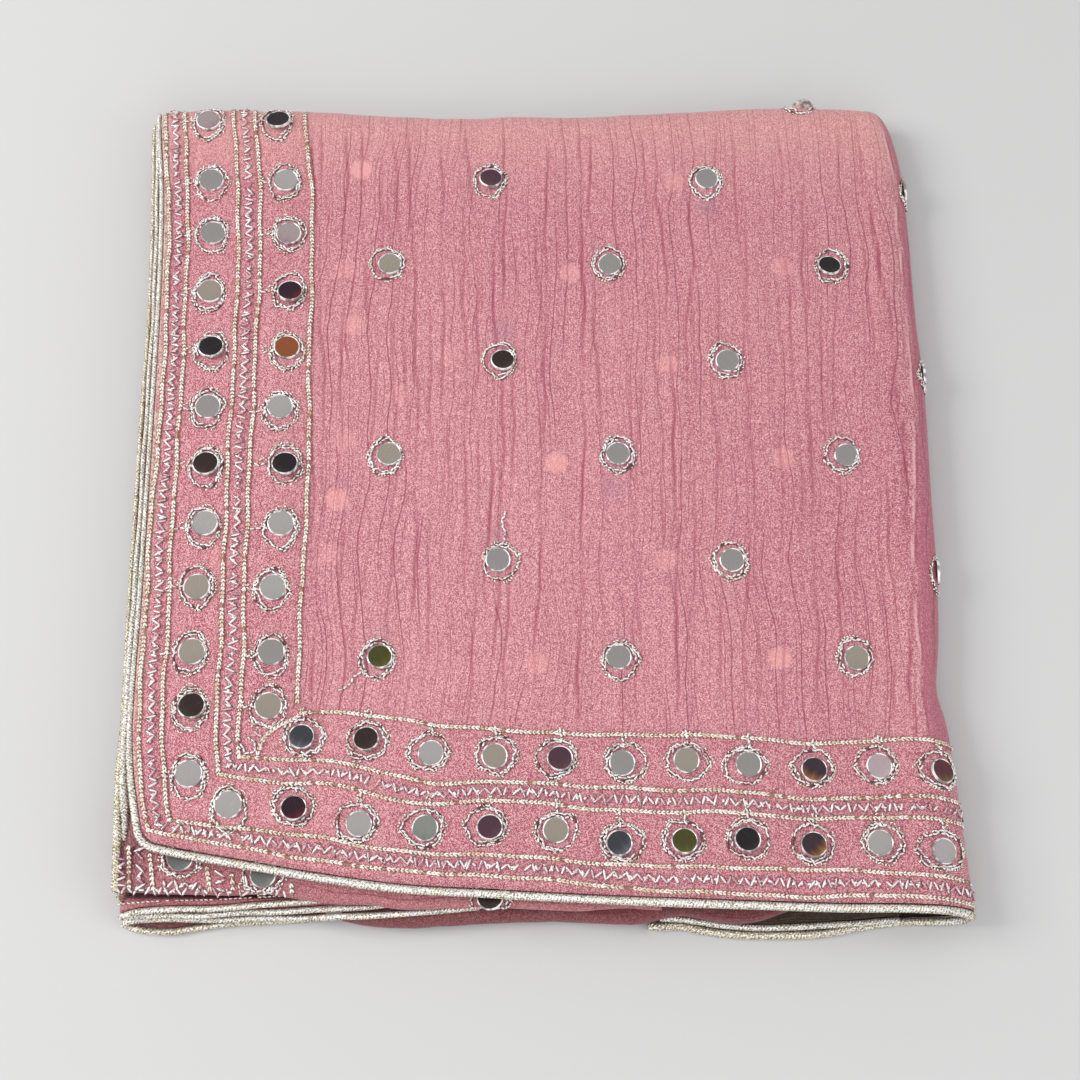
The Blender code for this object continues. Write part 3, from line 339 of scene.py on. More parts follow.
# Mirrors of the second ply that look out under the piping, and its tones: x, y, tone
SECOND_MIRRORS: tuple[tuple[float, float, Tone], ...] = (
    (-123.5, -139.6, T.SHADE), (-94.2, -145.4, T.SHADE), (-14.9, -153.0, T.BROWN),
)
# Its bits of gold chain, columns: x and y at the back, x and y in front
SECOND_CHAINS: Rows = (
    (-141.8, -136.2, -140.8, -149.4), (-134.2, -138.7, -132.4, -150.0),
    (-114.0, -143.2, -112.6, -150.2), (-105.1, -145.6, -104.6, -150.2),
    (-84.2, -149.2, -83.8, -152.6),
)
SECOND_ZIGZAGS: Rows = (
    (-138.0, -136.8, -137.0, -149.6), (-109.6, -145.0, -108.8, -150.6),
    (-145.0, -150.4, -100.0, -151.6), (-100.0, -147.6, -86.5, -152.0),
    (-144.6, -140.0, -143.6, -149.0), (-128.6, -148.4, -116.0, -149.6),
)
# Fine dashes of gold on the return fold under it, columns: x, y, z
BAND_STITCHES: Rows = (
    (-145.4, -155.0, 11.2), (-136.0, -154.2, 11.3), (-126.5, -153.7, 11.3),
    (-112.0, -153.4, 11.3), (-97.0, -152.6, 11.3), (-82.4, -151.9, 11.3),
)
# Loose ends of thread on the top ply, columns: s, t
LOOSE_ENDS: tuple[Rows, ...] = (
    ((-11.2, -24.6), (-10.4, -20.8), (-11.6, -16.8), (-10.6, -13.0)),
    ((-61.0, -73.4), (-64.2, -75.0), (-66.4, -78.4), (-69.4, -80.2)),
    ((-102.6, -97.6), (-99.6, -99.0), (-98.6, -102.4), (-101.4, -103.6), (-103.4, -101.0)),
    ((-98.6, -96.4), (-96.2, -98.2), (-96.6, -101.6)),
)


# ---- The folded form


def ramp(x: Array | float, start: float, end: float) -> Array:
    """A smooth rise from 0 at start to 1 at end, read at x."""
    share = np.clip((np.asarray(x, float) - start) / (end - start), 0.0, 1.0)
    return share * share * (3.0 - 2.0 * share)


class TableCurve:
    """A smooth line through the rows of a table, the same line that the solids follow."""

    def __init__(self, rows: Rows, value: int = 1) -> None:
        """Read a table.

        Args:
            rows: Rows with the key in the first column.
            value: The column that holds the value.
        """
        table = sorted((row[0], row[value]) for row in rows)
        self.keys, self.values = np.array(table, float).T
        places = np.arange(len(table))
        low = np.maximum(places - 1, 0)
        high = np.minimum(places + 1, len(table) - 1)
        self.slopes = (self.values[high] - self.values[low]) / (self.keys[high] - self.keys[low])

    def __call__(self, x: Array | float) -> Array:
        """Read the line.

        Args:
            x: One key or an array of keys.

        Returns:
            The value at each key.
        """
        x = np.clip(np.asarray(x, float), self.keys[0], self.keys[-1])
        i = np.clip(np.searchsorted(self.keys, x) - 1, 0, len(self.keys) - 2)
        span = self.keys[i + 1] - self.keys[i]
        u = (x - self.keys[i]) / span
        first = (2 * u**3 - 3 * u**2 + 1) * self.values[i]
        first += (u**3 - 2 * u**2 + u) * span * self.slopes[i]
        last = (3 * u**2 - 2 * u**3) * self.values[i + 1]
        return first + last + (u**3 - u**2) * span * self.slopes[i + 1]


left_piping, third_ply, second_ply_edge, fourth_ply = (TableCurve(LEFT_EDGES, k) for k in (1, 2, 3, 4))
front_piping, under_piping = TableCurve(FRONT_EDGE), TableCurve(UNDER_EDGE)
right_fold, back_fold = TableCurve(RIGHT_FOLD), TableCurve(BACK_FOLD)


def top_height(x: Array | float, y: Array | float) -> Array:
    """Height of the top ply over the table.

    Args:
        x: Place across.
        y: Place from front to back.

    Returns:
        The height in millimetres.
    """
    height = TOP_HEIGHT + LEFT_RISE * ramp(-np.asarray(x), *LEFT_SLOPE)
    height = height + FRONT_RISE * ramp(-np.asarray(y), *FRONT_SLOPE)
    height = height - RIGHT_FALL * ramp(x, *RIGHT_SLOPE) - BACK_FALL * ramp(y, *BACK_SLOPE)
    return height + WAVE * np.sin(np.asarray(x) / 19.0 + 0.6) * np.cos(np.asarray(y) / 31.0)


def on_outer_ply(s: Array | float, t: Array | float, lift: Array | float = 0.0) -> Array:
    """Points of the outer ply, which goes over the top, round the right fold and underneath.

    Args:
        s: Cloth from left to right over the top, and on round the right fold.
        t: Cloth from front to back, and on round the back fold.
        lift: Height over the cloth's face.

    Returns:
        An array of points in millimetres.
    """
    s, t, lift = np.broadcast_arrays(*(np.asarray(a, float) for a in (s, t, lift)))
    along = np.where(s < BEND_END, np.minimum(s, BEND_START), BEND_START + BEND_END - s)
    depth = -lift
    turn = np.radians(90.0 - 180.0 * (t - NOSE_START) / NOSE_SPAN)
    reach = back_fold(along) - NOSE_START
    in_nose = t > NOSE_START
    y = np.where(in_nose, NOSE_START + (reach - depth) * np.cos(turn), t)
    under = np.where(in_nose, NOSE_RADIUS - (NOSE_RADIUS - depth) * np.sin(turn), depth)
    bend = np.radians(90.0 - 180.0 * (s - BEND_START) / BEND_SPAN)
    half = top_height(BEND_START, y) / 2.0
    bend_x = BEND_START + (right_fold(y) - BEND_START - under) * np.cos(bend)
    bend_z = half + (half - under) * np.sin(bend)
    over = s <= BEND_START
    below = s >= BEND_END
    x = np.where(over, s, np.where(below, along, bend_x))
    z = np.where(over, top_height(s, y) - under, np.where(below, under, bend_z))
    return np.stack((x, y, z), axis=-1)


def facing(s: Array, t: Array) -> Array:
    """The way that the outer ply faces.

    Args:
        s: Cloth from left to right.
        t: Cloth from front to back.

    Returns:
        Unit vectors that point out of the cloth.
    """
    step = 0.4
    across = on_outer_ply(s + step, t) - on_outer_ply(s - step, t)
    deep = on_outer_ply(s, t + step) - on_outer_ply(s, t - step)
    out = np.cross(across, deep)
    return out / np.linalg.norm(out, axis=-1, keepdims=True)


def front_edge(s: Array) -> Array:
    """The outer ply's front piping, round the fold and underneath too.

    Args:
        s: Cloth from left to right.

    Returns:
        The cloth coordinate t of the middle of the piping.
    """
    share = (s - BEND_START) / BEND_SPAN
    turn = ramp(share, 0.0, 1.0)
    in_bend = (1.0 - turn) * front_piping(BEND_START + BEND_EDGE * share)
    in_bend = in_bend + turn * under_piping(BEND_START)
    below = under_piping(BEND_START + BEND_END - s)
    return np.where(s <= BEND_START, front_piping(s), np.where(s >= BEND_END, below, in_bend))


def smooth_path(rows: Rows, spacing: float) -> Array:
    """Points on a smooth line through a table of points.

    Args:
        rows: The points, x, y and z.
        spacing: Rough distance between the new points.

    Returns:
        The new points.
    """
    points = np.array(rows, float)
    smooth = [points[0]]
    for i in range(len(points) - 1):
        a, b = points[i], points[i + 1]
        before = points[max(i - 1, 0)]
        after = points[min(i + 2, len(points) - 1)]
        count = max(1, round(float(np.linalg.norm(b - a)) / spacing))
        for j in range(1, count + 1):
            u = j / count
            bent = (2 * a) + (b - before) * u + (2 * before - 5 * a + 4 * b - after) * u**2
            smooth.append(0.5 * (bent + (3 * a - before - 3 * b + after) * u**3))
    return np.array(smooth)


def blend(a: Array | float, b: Array | float, share: Array | float) -> Array | float:
    """The value or point that lies a share of the way from a to b."""
    return a + (b - a) * share


# ---- Meshes


def new_object(name: str, data: Any) -> Piece:
    """A new object in the scene.

    Args:
        name: Its name.
        data: Its mesh, lamp or camera.

    Returns:
        The object.
    """
    piece = bpy.data.objects.new(name, data)
    bpy.context.scene.collection.objects.link(piece)
    return piece


def mesh_object(name: str, points: Iterable[Any], faces: Iterable[Sequence[int]],
                edges: Iterable[Sequence[int]] = (), smooth: bool = True) -> Piece:
    """A mesh object from points in metres.

    Args:
        name: Its name.
        points: Its points.
        faces: Its faces.
        edges: Loose edges, for a path.
        smooth: Whether its faces are shaded smooth.

    Returns:
        The object, linked to the scene.
    """
    mesh = bpy.data.meshes.new(name)
    mesh.from_pydata(list(points), list(edges), list(faces))
    if smooth:
        mesh.shade_smooth()
    return new_object(name, mesh)


def from_table(points: Array) -> list[list[float]]:
    """Table points in millimetres as points in metres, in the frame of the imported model."""
    return ((np.asarray(points, float) - CENTRE) * MM).tolist()


def store(piece: Piece, name: str, values: Any) -> None:
    """Keep a number or a vector with every point of a mesh.

    Args:
        piece: The mesh object.
        name: The attribute's name.
        values: One value for each point.
    """
    values = np.asarray(values, np.float32)
    kind, key = ("FLOAT_VECTOR", "vector") if values.ndim == 2 else ("FLOAT", "value")
    held = piece.data.attributes.new(name, kind, "POINT")
    held.data.foreach_set(key, values.ravel())


def grid_faces(rows: int, columns: int, first: int = 0) -> list[tuple[int, ...]]:
    """Faces of a grid of points.

    Args:
        rows: How many rows of points.
        columns: How many points in a row.
        first: Index of the first point.

    Returns:
        Four-sided faces that face up where rows run to the back and columns to the right.
    """
    corners = [first + i * columns + j for i in range(rows - 1) for j in range(columns - 1)]
    return [(a, a + 1, a + columns + 1, a + columns) for a in corners]


def tube_faces(rings: int, sides: int, first: int = 0) -> list[tuple[int, ...]]:
    """Faces between rings of points that lie one after another.

    Args:
        rings: How many rings.
        sides: Points of a ring.
        first: Index of the first point.

    Returns:
        The side faces, and the face that closes the last ring.
    """
    faces: list[tuple[int, ...]] = []
    for start in range(first, first + (rings - 1) * sides, sides):
        for k in range(sides):
            a, b = start + k, start + (k + 1) % sides
            faces.append((a, a + sides, b + sides, b))
    last = first + (rings - 1) * sides
    return faces + [tuple(last + k for k in reversed(range(sides)))]


def rim_of(rows: int, columns: int) -> list[int]:
    """The edge of a grid of points.

    Args:
        rows: How many rows of points.
        columns: How many points in a row.

    Returns:
        Indices of the edge points, anticlockwise from the first.
    """
    rim = list(range(columns))
    rim += [i * columns + columns - 1 for i in range(1, rows)]
    rim += [(rows - 1) * columns + j for j in range(columns - 2, -1, -1)]
    return rim + [i * columns for i in range(rows - 2, 0, -1)]


def ride_root(piece: Piece, slot: str, *nodes: str) -> Piece:
    """Fix a piece to the packet and hide the solids that it stands for.

    Args:
        piece: The finished piece.
        slot: The record's material slot. Not used.
        nodes: The CAD nodes that it replaces.

    Returns:
        The piece.
    """
    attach(piece, "root")
    if nodes:
        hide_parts(*nodes)
    log.info("%s: %d faces", piece.name, len(piece.data.polygons))
    return piece


# ---- Node boards


class Board:
    """A node tree with short ways to add and join its nodes."""

    def __init__(self, tree: Tree) -> None:
        """Take over a shader tree or a geometry tree."""
        self.tree = tree
        self.count = 0

    def add(self, kind: str, inputs: dict[Any, Any] | None = None, **settings: Any) -> Any:
        """Add a node.

        Args:
            kind: Its type, such as ShaderNodeMath.
            inputs: Values or sockets for its inputs, by name or index.
            settings: Its own settings.

        Returns:
            The node.
        """
        node = self.tree.nodes.new(kind)
        node.location = (180.0 * (self.count % 24), -220.0 * (self.count // 24))
        self.count += 1
        for name, value in settings.items():
            setattr(node, name, value)
        for name, value in (inputs or {}).items():
            self.put(node.inputs[name], value)
        return node

    def put(self, socket: Any, value: Any) -> None:
        """Join a socket to an input, or set the input's value.

        Args:
            socket: The input.
            value: A socket, a colour, a vector or a number.
        """
        if isinstance(value, bpy.types.NodeSocket):
            self.tree.links.new(value, socket)
        elif socket.type == "RGBA" and len(value) == 3:
            socket.default_value = (*value, 1.0)
        else:
            socket.default_value = value

    def math(self, operation: str, a: Any, b: Any = 0.0, c: Any = 0.0, clamp: bool = False) -> Any:
        """The socket of a sum on up to three numbers, kept between 0 and 1 if clamp is set."""
        return self.add("ShaderNodeMath", {0: a, 1: b, 2: c}, operation=operation,
                        use_clamp=clamp).outputs[0]

    def times(self, a: Any, b: Any) -> Any:
        """The socket of a product."""
        return self.math("MULTIPLY", a, b)

    def step(self, value: Any, low: float, high: float, bottom: float = 0.0,
             top: float = 1.0) -> Any:
        """The socket of a smooth step from bottom, while a value is under low, to top."""
        return self.add("ShaderNodeMapRange", {0: value, 1: low, 2: high, 3: bottom, 4: top},
                        interpolation_type="SMOOTHSTEP").outputs[0]

    def mix(self, share: Any, a: Any, b: Any) -> Any:
        """The socket of colour a with a share of colour b mixed in."""
        return self.add("ShaderNodeMix", {0: share, 6: a, 7: b}, data_type="RGBA",
                        blend_type="MIX").outputs[2]

    def noise(self, place: Any, cells: Point, detail: float = 2.0, shift: float = 0.0) -> Any:
        """A noise, stretched along the cloth.

        Args:
            place: The socket of the place in millimetres.
            cells: Cells for each millimetre along each direction.
            detail: How fine its grain goes.
            shift: Moves it, so that two noises differ.

        Returns:
            The noise's value socket, about 0.5 in the middle.
        """
        moved = self.add("ShaderNodeMapping", {"Vector": place, "Scale": cells,
                                               "Location": (shift, shift * 1.7, shift * 0.3)})
        return self.add("ShaderNodeTexNoise", {"Vector": moved.outputs[0], "Scale": 1.0,
                                               "Detail": detail, "Roughness": 0.55}).outputs[0]

    def read(self, name: str, output: str = "Fac") -> Any:
        """The socket of one of the piece's attributes, in a shader tree."""
        return self.add("ShaderNodeAttribute", attribute_name=name).outputs[output]

    def split(self, vector: Any) -> Any:
        """The sockets of a vector's three parts."""
        return self.add("ShaderNodeSeparateXYZ", {0: vector}).outputs

    def on_piece(self) -> Any:
        """The socket of the place on the piece, in millimetres."""
        place = self.add("ShaderNodeTexCoord").outputs["Object"]
        return self.add("ShaderNodeVectorMath", {0: place, 1: (1.0 / MM,) * 3},
                        operation="MULTIPLY").outputs[0]


def new_finish(name: str, metallic: float = 0.0) -> tuple[Finish, Board, Any]:
    """A new material with nodes.

    Args:
        name: Its name.
        metallic: How metallic it is.

    Returns:
        The material, a board on its tree, and the inputs of its Principled shader.
    """
    made = bpy.data.materials.new(name)
    made.use_nodes = True
    shader = made.node_tree.nodes["Principled BSDF"].inputs
    shader["Metallic"].default_value = metallic
    return made, Board(made.node_tree), shader


def raise_surface(board: Board, shader: Any, height: Any, strength: float, distance: float) -> None:
    """Let a height show as relief.

    Args:
        board: The material's board.
        shader: The inputs of its shader.
        height: The height's socket.
        strength: How strongly it shows.
        distance: How high it stands, in metres.
    """
    bump = board.add("ShaderNodeBump", {"Height": height, "Strength": strength,
                                        "Distance": distance})
    board.put(shader["Normal"], bump.outputs[0])


# Fine crinkles, four sets: cells for each millimetre, half width of a line, strength, shift
CREASE_SETS: Rows = ((0.12, 0.42, 0.95, 11.0), (0.19, 0.36, 0.65, 47.0),
                     (0.30, 0.32, 0.42, 83.0), (0.55, 0.30, 0.22, 29.0))
# Inputs and outputs of the tissue group: name, socket type and first value
TISSUE_TAKES = (("Place", "Vector", (0.0, 0.0, 0.0)), ("Cloth", "Color", (0.6, 0.2, 0.25, 1.0)),
                ("Crease", "Color", (0.4, 0.08, 0.13, 1.0)),
                ("Glint", "Color", (0.95, 0.6, 0.58, 1.0)),
                ("Warm", "Color", (0.72, 0.33, 0.26, 1.0)), ("Crinkle", "Float", 1.0))
TISSUE_GIVES = (("Color", "Color"), ("Roughness", "Float"), ("Height", "Float"))


def tissue_effect() -> Tree:
    """The group for crinkled tissue: fine crinkles, metal glitter and slow changes of colour.

    Returns:
        The node group. Its place input is in millimetres of cloth, with crinkles along y.
    """
    tree = bpy.data.node_groups.new("crinkled tissue", "ShaderNodeTree")
    for label, kind, value in TISSUE_TAKES:
        socket = tree.interface.new_socket(label, in_out="INPUT", socket_type="NodeSocket" + kind)
        socket.default_value = value
    for label, kind in TISSUE_GIVES:
        tree.interface.new_socket(label, in_out="OUTPUT", socket_type="NodeSocket" + kind)
    board = Board(tree)
    given, made = board.add("NodeGroupInput").outputs, board.add("NodeGroupOutput").inputs
    place, cloth, crease, glint = (given[name] for name in ("Place", "Cloth", "Crease", "Glint"))

    # Crinkles run along y and bend: widely, nearby and in small. The dark colour of their lines is
    # painted shade in the creases
    bent = board.split(place)[0]
    for cells, detail, shift, reach in (((0.010, 0.016, 0.0), 1.0, 3.1, 16.0),
                                        ((0.13, 0.05, 0.0), 1.0, 14.0, 2.2),
                                        ((0.30, 0.22, 0.0), 1.0, 21.0, 0.8)):
        bent = board.math("MULTIPLY_ADD", board.noise(place, cells, detail, shift), reach, bent)
    lines = None
    for cells, half, strength, shift in CREASE_SETS:
        cracks = board.add("ShaderNodeTexVoronoi",
                           {"W": board.math("ADD", bent, shift), "Scale": cells},
                           voronoi_dimensions="1D", feature="DISTANCE_TO_EDGE")
        line = board.step(cracks.outputs[0], 0.0, half * cells, strength, 0.0)
        held = board.noise(place, (0.09, 0.0085, 0.0), 1.0, shift)
        line = board.times(line, board.step(held, 0.44, 0.56))
        lines = line if lines is None else board.math("MAXIMUM", lines, line)
    creases = board.times(lines, given["Crinkle"])

    # Slow clouds and streaks of colour, and three chances for every speck of metal weft: a dark speck,
    # a painted glint or a rarer painted glint. Last, painted shade along the crinkles
    slow = board.step(board.noise(place, (0.018, 0.012, 0.0), 3.0, 61.0), 0.35, 0.68)
    streak = board.step(board.noise(place, (0.20, 0.011, 0.0), 3.0, 19.0), 0.38, 0.70)
    thin = board.step(board.noise(place, (0.65, 0.03, 0.0), 2.0, 33.0), 0.42, 0.66)
    deep = board.step(board.noise(place, (0.012, 0.008, 0.0), 2.0, 88.0), 0.42, 0.66, 0.0, 0.34)
    specks = board.add("ShaderNodeTexVoronoi", {"Vector": place, "Scale": 3.9},
                       voronoi_dimensions="2D").outputs
    grain, weave, rare_glint = board.add("ShaderNodeSeparateColor", {0: specks["Color"]}).outputs
    colour = board.mix(board.times(slow, 0.35), cloth, given["Warm"])
    for share, tone in ((board.times(streak, 0.34), crease), (board.times(thin, 0.16), crease),
                        (deep, crease), (board.step(weave, 0.0, 0.55, 0.80, 0.0), crease),
                        (board.step(grain, 0.38, 1.0, 0.0, 0.90), glint),
                        (board.step(rare_glint, 0.84, 0.97, 0.0, 1.0), glint),
                        (board.times(creases, 0.85), crease)):
        colour = board.mix(share, colour, tone)
    board.put(made["Color"], colour)
    board.put(made["Roughness"], board.step(grain, 0.2, 0.9, 0.62, 0.42))
    height = board.math("MULTIPLY_ADD", specks["Distance"], -0.12, board.times(creases, -0.35))
    board.put(made["Height"], board.math("MULTIPLY_ADD", streak, -0.10, height))
    return tree


@dataclass(frozen=True)
class TissueFinish:
    """The finish of one face of the tissue.

    The outermost ply is deeper in its border, and lets the mirrors of the ply below show through.
    """

    name: str
    cloth: Colour
    crease: Colour
    glint: Colour
    warm: Colour
    crinkle: float = 1.0
    metallic: float = 0.12
    border: Colour | None = None
    border_edge: Pair = (57.0, 63.0)
    sheen: Colour = (1.0, 0.82, 0.80)
    shadow: Colour = (0.025, 0.010, 0.012)

    def material(self, effect: Tree) -> Finish:
        """Build the material.

        Args:
            effect: The crinkled tissue group.

        Returns:
            The material. It reads the cloth attribute: s, t and distance from the piped edge.
        """
        made, board, shader = new_finish(self.name, self.metallic)
        place = board.read("cloth", "Vector")
        tissue = board.add("ShaderNodeGroup", {}, node_tree=effect)
        for label, value in (("Place", place), ("Cloth", self.cloth), ("Crease", self.crease),
                             ("Glint", self.glint), ("Warm", self.warm),
                             ("Crinkle", self.crinkle)):
            board.put(tissue.inputs[label], value)
        colour = tissue.outputs["Color"]
        if self.border:
            s, t, edge = board.split(place)
            zone = board.step(edge, *self.border_edge, 0.85, 0.0)
            board.put(tissue.inputs["Cloth"], board.mix(zone, self.cloth, self.border))
            board.put(tissue.inputs["Crinkle"], board.step(edge, *self.border_edge, 0.35,
                                                           self.crinkle))
            colour = self.shine_through(board, s, t, colour)
            colour = self.over_folds(board, place, (s, t, edge), colour)
        # Painted shade in the troughs of the long crinkles
        trough = board.math("MULTIPLY", board.read("trough"), 0.95, clamp=True)
        colour = board.mix(trough, colour, self.crease)
        if self.border:
            colour = self.binding(board, place, s, edge, colour)
        board.put(shader["Base Color"], board.mix(board.read("shade"), colour, self.shadow))
        board.put(shader["Roughness"], tissue.outputs["Roughness"])
        shader["Sheen Weight"].default_value = 0.22
        shader["Sheen Roughness"].default_value = 0.4
        board.put(shader["Sheen Tint"], self.sheen)
        raise_surface(board, shader, tissue.outputs["Height"], 0.75, 0.0011)
        return made

    def shine_through(self, board: Board, s: Any, t: Any, colour: Any) -> Any:
        """Let the mirrors of the ply below show through the tissue.

        Args:
            board: The material's board.
            s: The socket of the cloth from left to right.
            t: The socket of the cloth from front to back.
            colour: The cloth's colour socket.

        Returns:
            The new colour socket.
        """
        flat = board.add("ShaderNodeCombineXYZ", {0: s, 1: t}).outputs[0]
        pale: Any = 0.0
        dull: Any = 0.0
        for x, y, strength in GHOSTS:
            far = board.add("ShaderNodeVectorMath", {0: flat, 1: (x, y, 0.0)},
                            operation="DISTANCE").outputs["Value"]
            if strength > 0.0:
                pale = board.math("ADD", pale, board.step(far, 3.0, 5.3, 0.72 * strength, 0.0))
            else:
                dull = board.math("ADD", dull, board.step(far, 2.0, 6.5, -0.7 * strength, 0.0))
        colour = board.mix(pale, colour, (0.92, 0.42, 0.41))
        return board.mix(dull, colour, (0.36, 0.20, 0.27))

    def over_folds(self, board: Board, place: Any, parts: tuple[Any, Any, Any],
                   colour: Any) -> Any:
        """Change the colour where the ply goes over the back fold and the right fold: warmer towards
        the back, and painted shade and a painted highlight where it turns down at the right.

        Args:
            board: The material's board.
            place: The socket of the place in millimetres.
            parts: The sockets of s, t and distance from the piped edge.
            colour: The cloth's colour socket.

        Returns:
            The new colour socket.
        """
        s, t, edge = parts
        # Warmer and lighter towards the back fold
        colour = board.mix(board.step(t, 112.0, 168.0, 0.0, 0.38), colour, (0.86, 0.47, 0.41))
        # Painted shade along the right fold, where the cloth turns down
        field_share = board.step(edge, 57.0, 61.0)
        start = board.step(t, -40.0, 40.0, 139.8, 144.0)
        sway = board.noise(place, (0.02, 0.035, 0.0), 2.0, 57.0)
        past = board.math("SUBTRACT", board.math("SUBTRACT", s, start), 2.0)
        past = board.math("MULTIPLY_ADD", sway, 4.0, past)
        fold_shade = board.times(board.step(past, -0.4, 1.8, 0.0, 0.58), field_share)
        colour = board.mix(fold_shade, colour, (0.42, 0.085, 0.15))
        # A line of painted shade in the fold's crease and a painted highlight beside it, broken up in
        # patches
        patchy = board.step(board.noise(place, (0.25, 0.06, 0.0), 2.0, 67.0), 0.42, 0.58)
        for middle, tone in ((0.2, self.crease), (-0.9, self.glint)):
            near = board.math("ABSOLUTE", board.math("SUBTRACT", past, middle))
            near = board.times(board.step(near, 0.15, 0.8, 0.7, 0.0), field_share)
            colour = board.mix(board.times(near, patchy), colour, tone)
        return colour

    def binding(self, board: Board, place: Any, s: Any, edge: Any, colour: Any) -> Any:
        """Lay the gold threads of the piping's binding over the cloth beside it.

        Args:
            board: The material's board.
            place: The socket of the place in millimetres.
            s: The socket of the cloth from left to right.
            edge: The socket of the distance from the piped edge.
            colour: The cloth's colour socket.

        Returns:
            The new colour socket.
        """
        side = board.step(s, -142.0, -136.0, 1.0, 0.0)
        near = board.step(edge, 3.4, 4.8, 1.0, 0.0)
        long = board.step(board.noise(place, (0.0, 0.028, 0.0), 2.0, 5.0), 0.40, 0.56)
        grain = board.step(board.noise(place, (1.5, 1.3, 0.0), 2.0, 91.0), 0.38, 0.62)
        # Bright specks of the gold thread are painted glints
        bright = board.step(board.noise(place, (1.7, 1.4, 0.0), 1.0, 97.0), 0.55, 0.66)
        thread = board.mix(grain, (0.30, 0.13, 0.08), (0.86, 0.74, 0.60))
        thread = board.mix(bright, thread, (0.96, 0.93, 0.86))
        cover = board.times(board.times(near, side), long)
        return board.mix(board.times(cover, 0.6), colour, thread)


@dataclass(frozen=True)
class ThreadFinish:
    """A finish of metal thread: painted shade in its grooves and where it lies low, and bright on its
    ridges.
    """

    name: str
    bright: Colour
    deep: Colour
    tint: Colour
    roughness: float = 0.3
    metallic: float = 0.75

    def material(self) -> Finish:
        """Build the material.

        Returns:
            The material. It reads the attributes ridge (0 to 1) and tone (0 to 1).
        """
        made, board, shader = new_finish(self.name, self.metallic)
        ridge, tone, place = board.read("ridge"), board.read("tone"), board.on_piece()
        patchy = board.noise(place, (0.12, 0.12, 0.12), 3.0, 3.0)
        spark = board.noise(place, (1.6, 1.6, 1.6), 1.0, 9.0)
        colour = board.mix(board.step(tone, 0.45, 0.95), self.bright, self.tint)
        colour = board.mix(board.step(patchy, 0.45, 0.72, 0.0, 0.25), colour, self.tint)
        # Painted shade where the stitch is low: underneath, at its ends and in its grooves
        colour = board.mix(board.step(ridge, 0.35, 0.90, 0.95, 0.0), colour, self.deep)
        # Painted glints: bright specks
        colour = board.mix(board.step(spark, 0.54, 0.64, 0.0, 0.8), colour, self.bright)
        board.put(shader["Base Color"], colour)
        board.put(shader["Roughness"], board.step(spark, 0.35, 0.65, self.roughness + 0.12,
                                                  self.roughness - 0.08))
        raise_surface(board, shader, spark, 0.35, 0.0004)
        return made


@dataclass(frozen=True)
class RopeFinish:
    """The finish of the piping: fine slanted ridges of silver, gold flanks and dark grooves. The silver
    crown is a painted highlight where the rope faces up, the gold of the flanks is partly painted
    shade, and the grooves, the low pipings and the dark specks carry painted shade.
    """

    name: str
    bright: Colour
    flank: Colour
    deep: Colour
    pitch: float = 1.15
    starts: float = 3.0
    roughness: float = 0.28
    metallic: float = 0.42

    def material(self) -> Finish:
        """Build the material.

        Returns:
            The material. It reads the attributes along, round and crown of the rope.
        """
        made, board, shader = new_finish(self.name, self.metallic)
        along, crown, spot = board.read("along"), board.read("crown"), board.on_piece()
        around = board.split(board.read("round", "Vector"))
        angle = board.math("ARCTAN2", around[1], around[0])
        turned = board.math("MULTIPLY_ADD", along, 2.0 * math.pi / self.pitch,
                            board.times(angle, self.starts))
        wander = board.noise(spot, (0.5, 0.5, 0.5), 2.0, 5.0)
        phase = board.math("MULTIPLY_ADD", wander, 9.0, turned)
        ridge = board.math("MULTIPLY_ADD", board.math("SINE", phase), 0.5, 0.5)
        # Silver where the rope faces up, a painted highlight, and gold on the flanks, partly painted
        # shade
        side = board.step(crown, 0.50, 0.97, 1.0, 0.0)
        # Painted shade on pipings that lie low, near the table
        low = board.step(board.split(spot)[2], 3.0, 6.0, 0.85, 0.0)
        patchy = board.step(board.noise(spot, (0.20, 0.20, 0.20), 3.0, 3.0), 0.40, 0.60)
        flank = board.times(side, board.math("MULTIPLY_ADD", patchy, 0.45, 0.50))
        flank = board.math("MAXIMUM", flank, board.times(patchy, 0.5))
        colour = board.mix(board.math("MAXIMUM", flank, low), self.bright, self.flank)
        # Painted shade in the grooves of the twist, deeper on the flanks
        groove = board.times(board.step(ridge, 0.05, 0.50, 1.0, 0.0),
                             board.math("MULTIPLY_ADD", side, 0.50, 0.42))
        colour = board.mix(groove, colour, self.deep)
        # Painted glints and dark specks
        spark = board.noise(spot, (1.55, 1.55, 1.55), 1.0, 15.0)
        colour = board.mix(board.step(spark, 0.52, 0.60, 0.0, 0.95), colour, (1.0, 0.99, 0.97))
        colour = board.mix(board.step(spark, 0.34, 0.44, 0.75, 0.0), colour, self.deep)
        board.put(shader["Base Color"], colour)
        board.put(shader["Roughness"], board.step(spark, 0.35, 0.65, self.roughness + 0.14,
                                                  self.roughness - 0.06))
        height = board.math("MULTIPLY_ADD", ridge, 0.6, board.times(spark, 0.7))
        raise_surface(board, shader, height, 0.8, 0.0005)
        return made


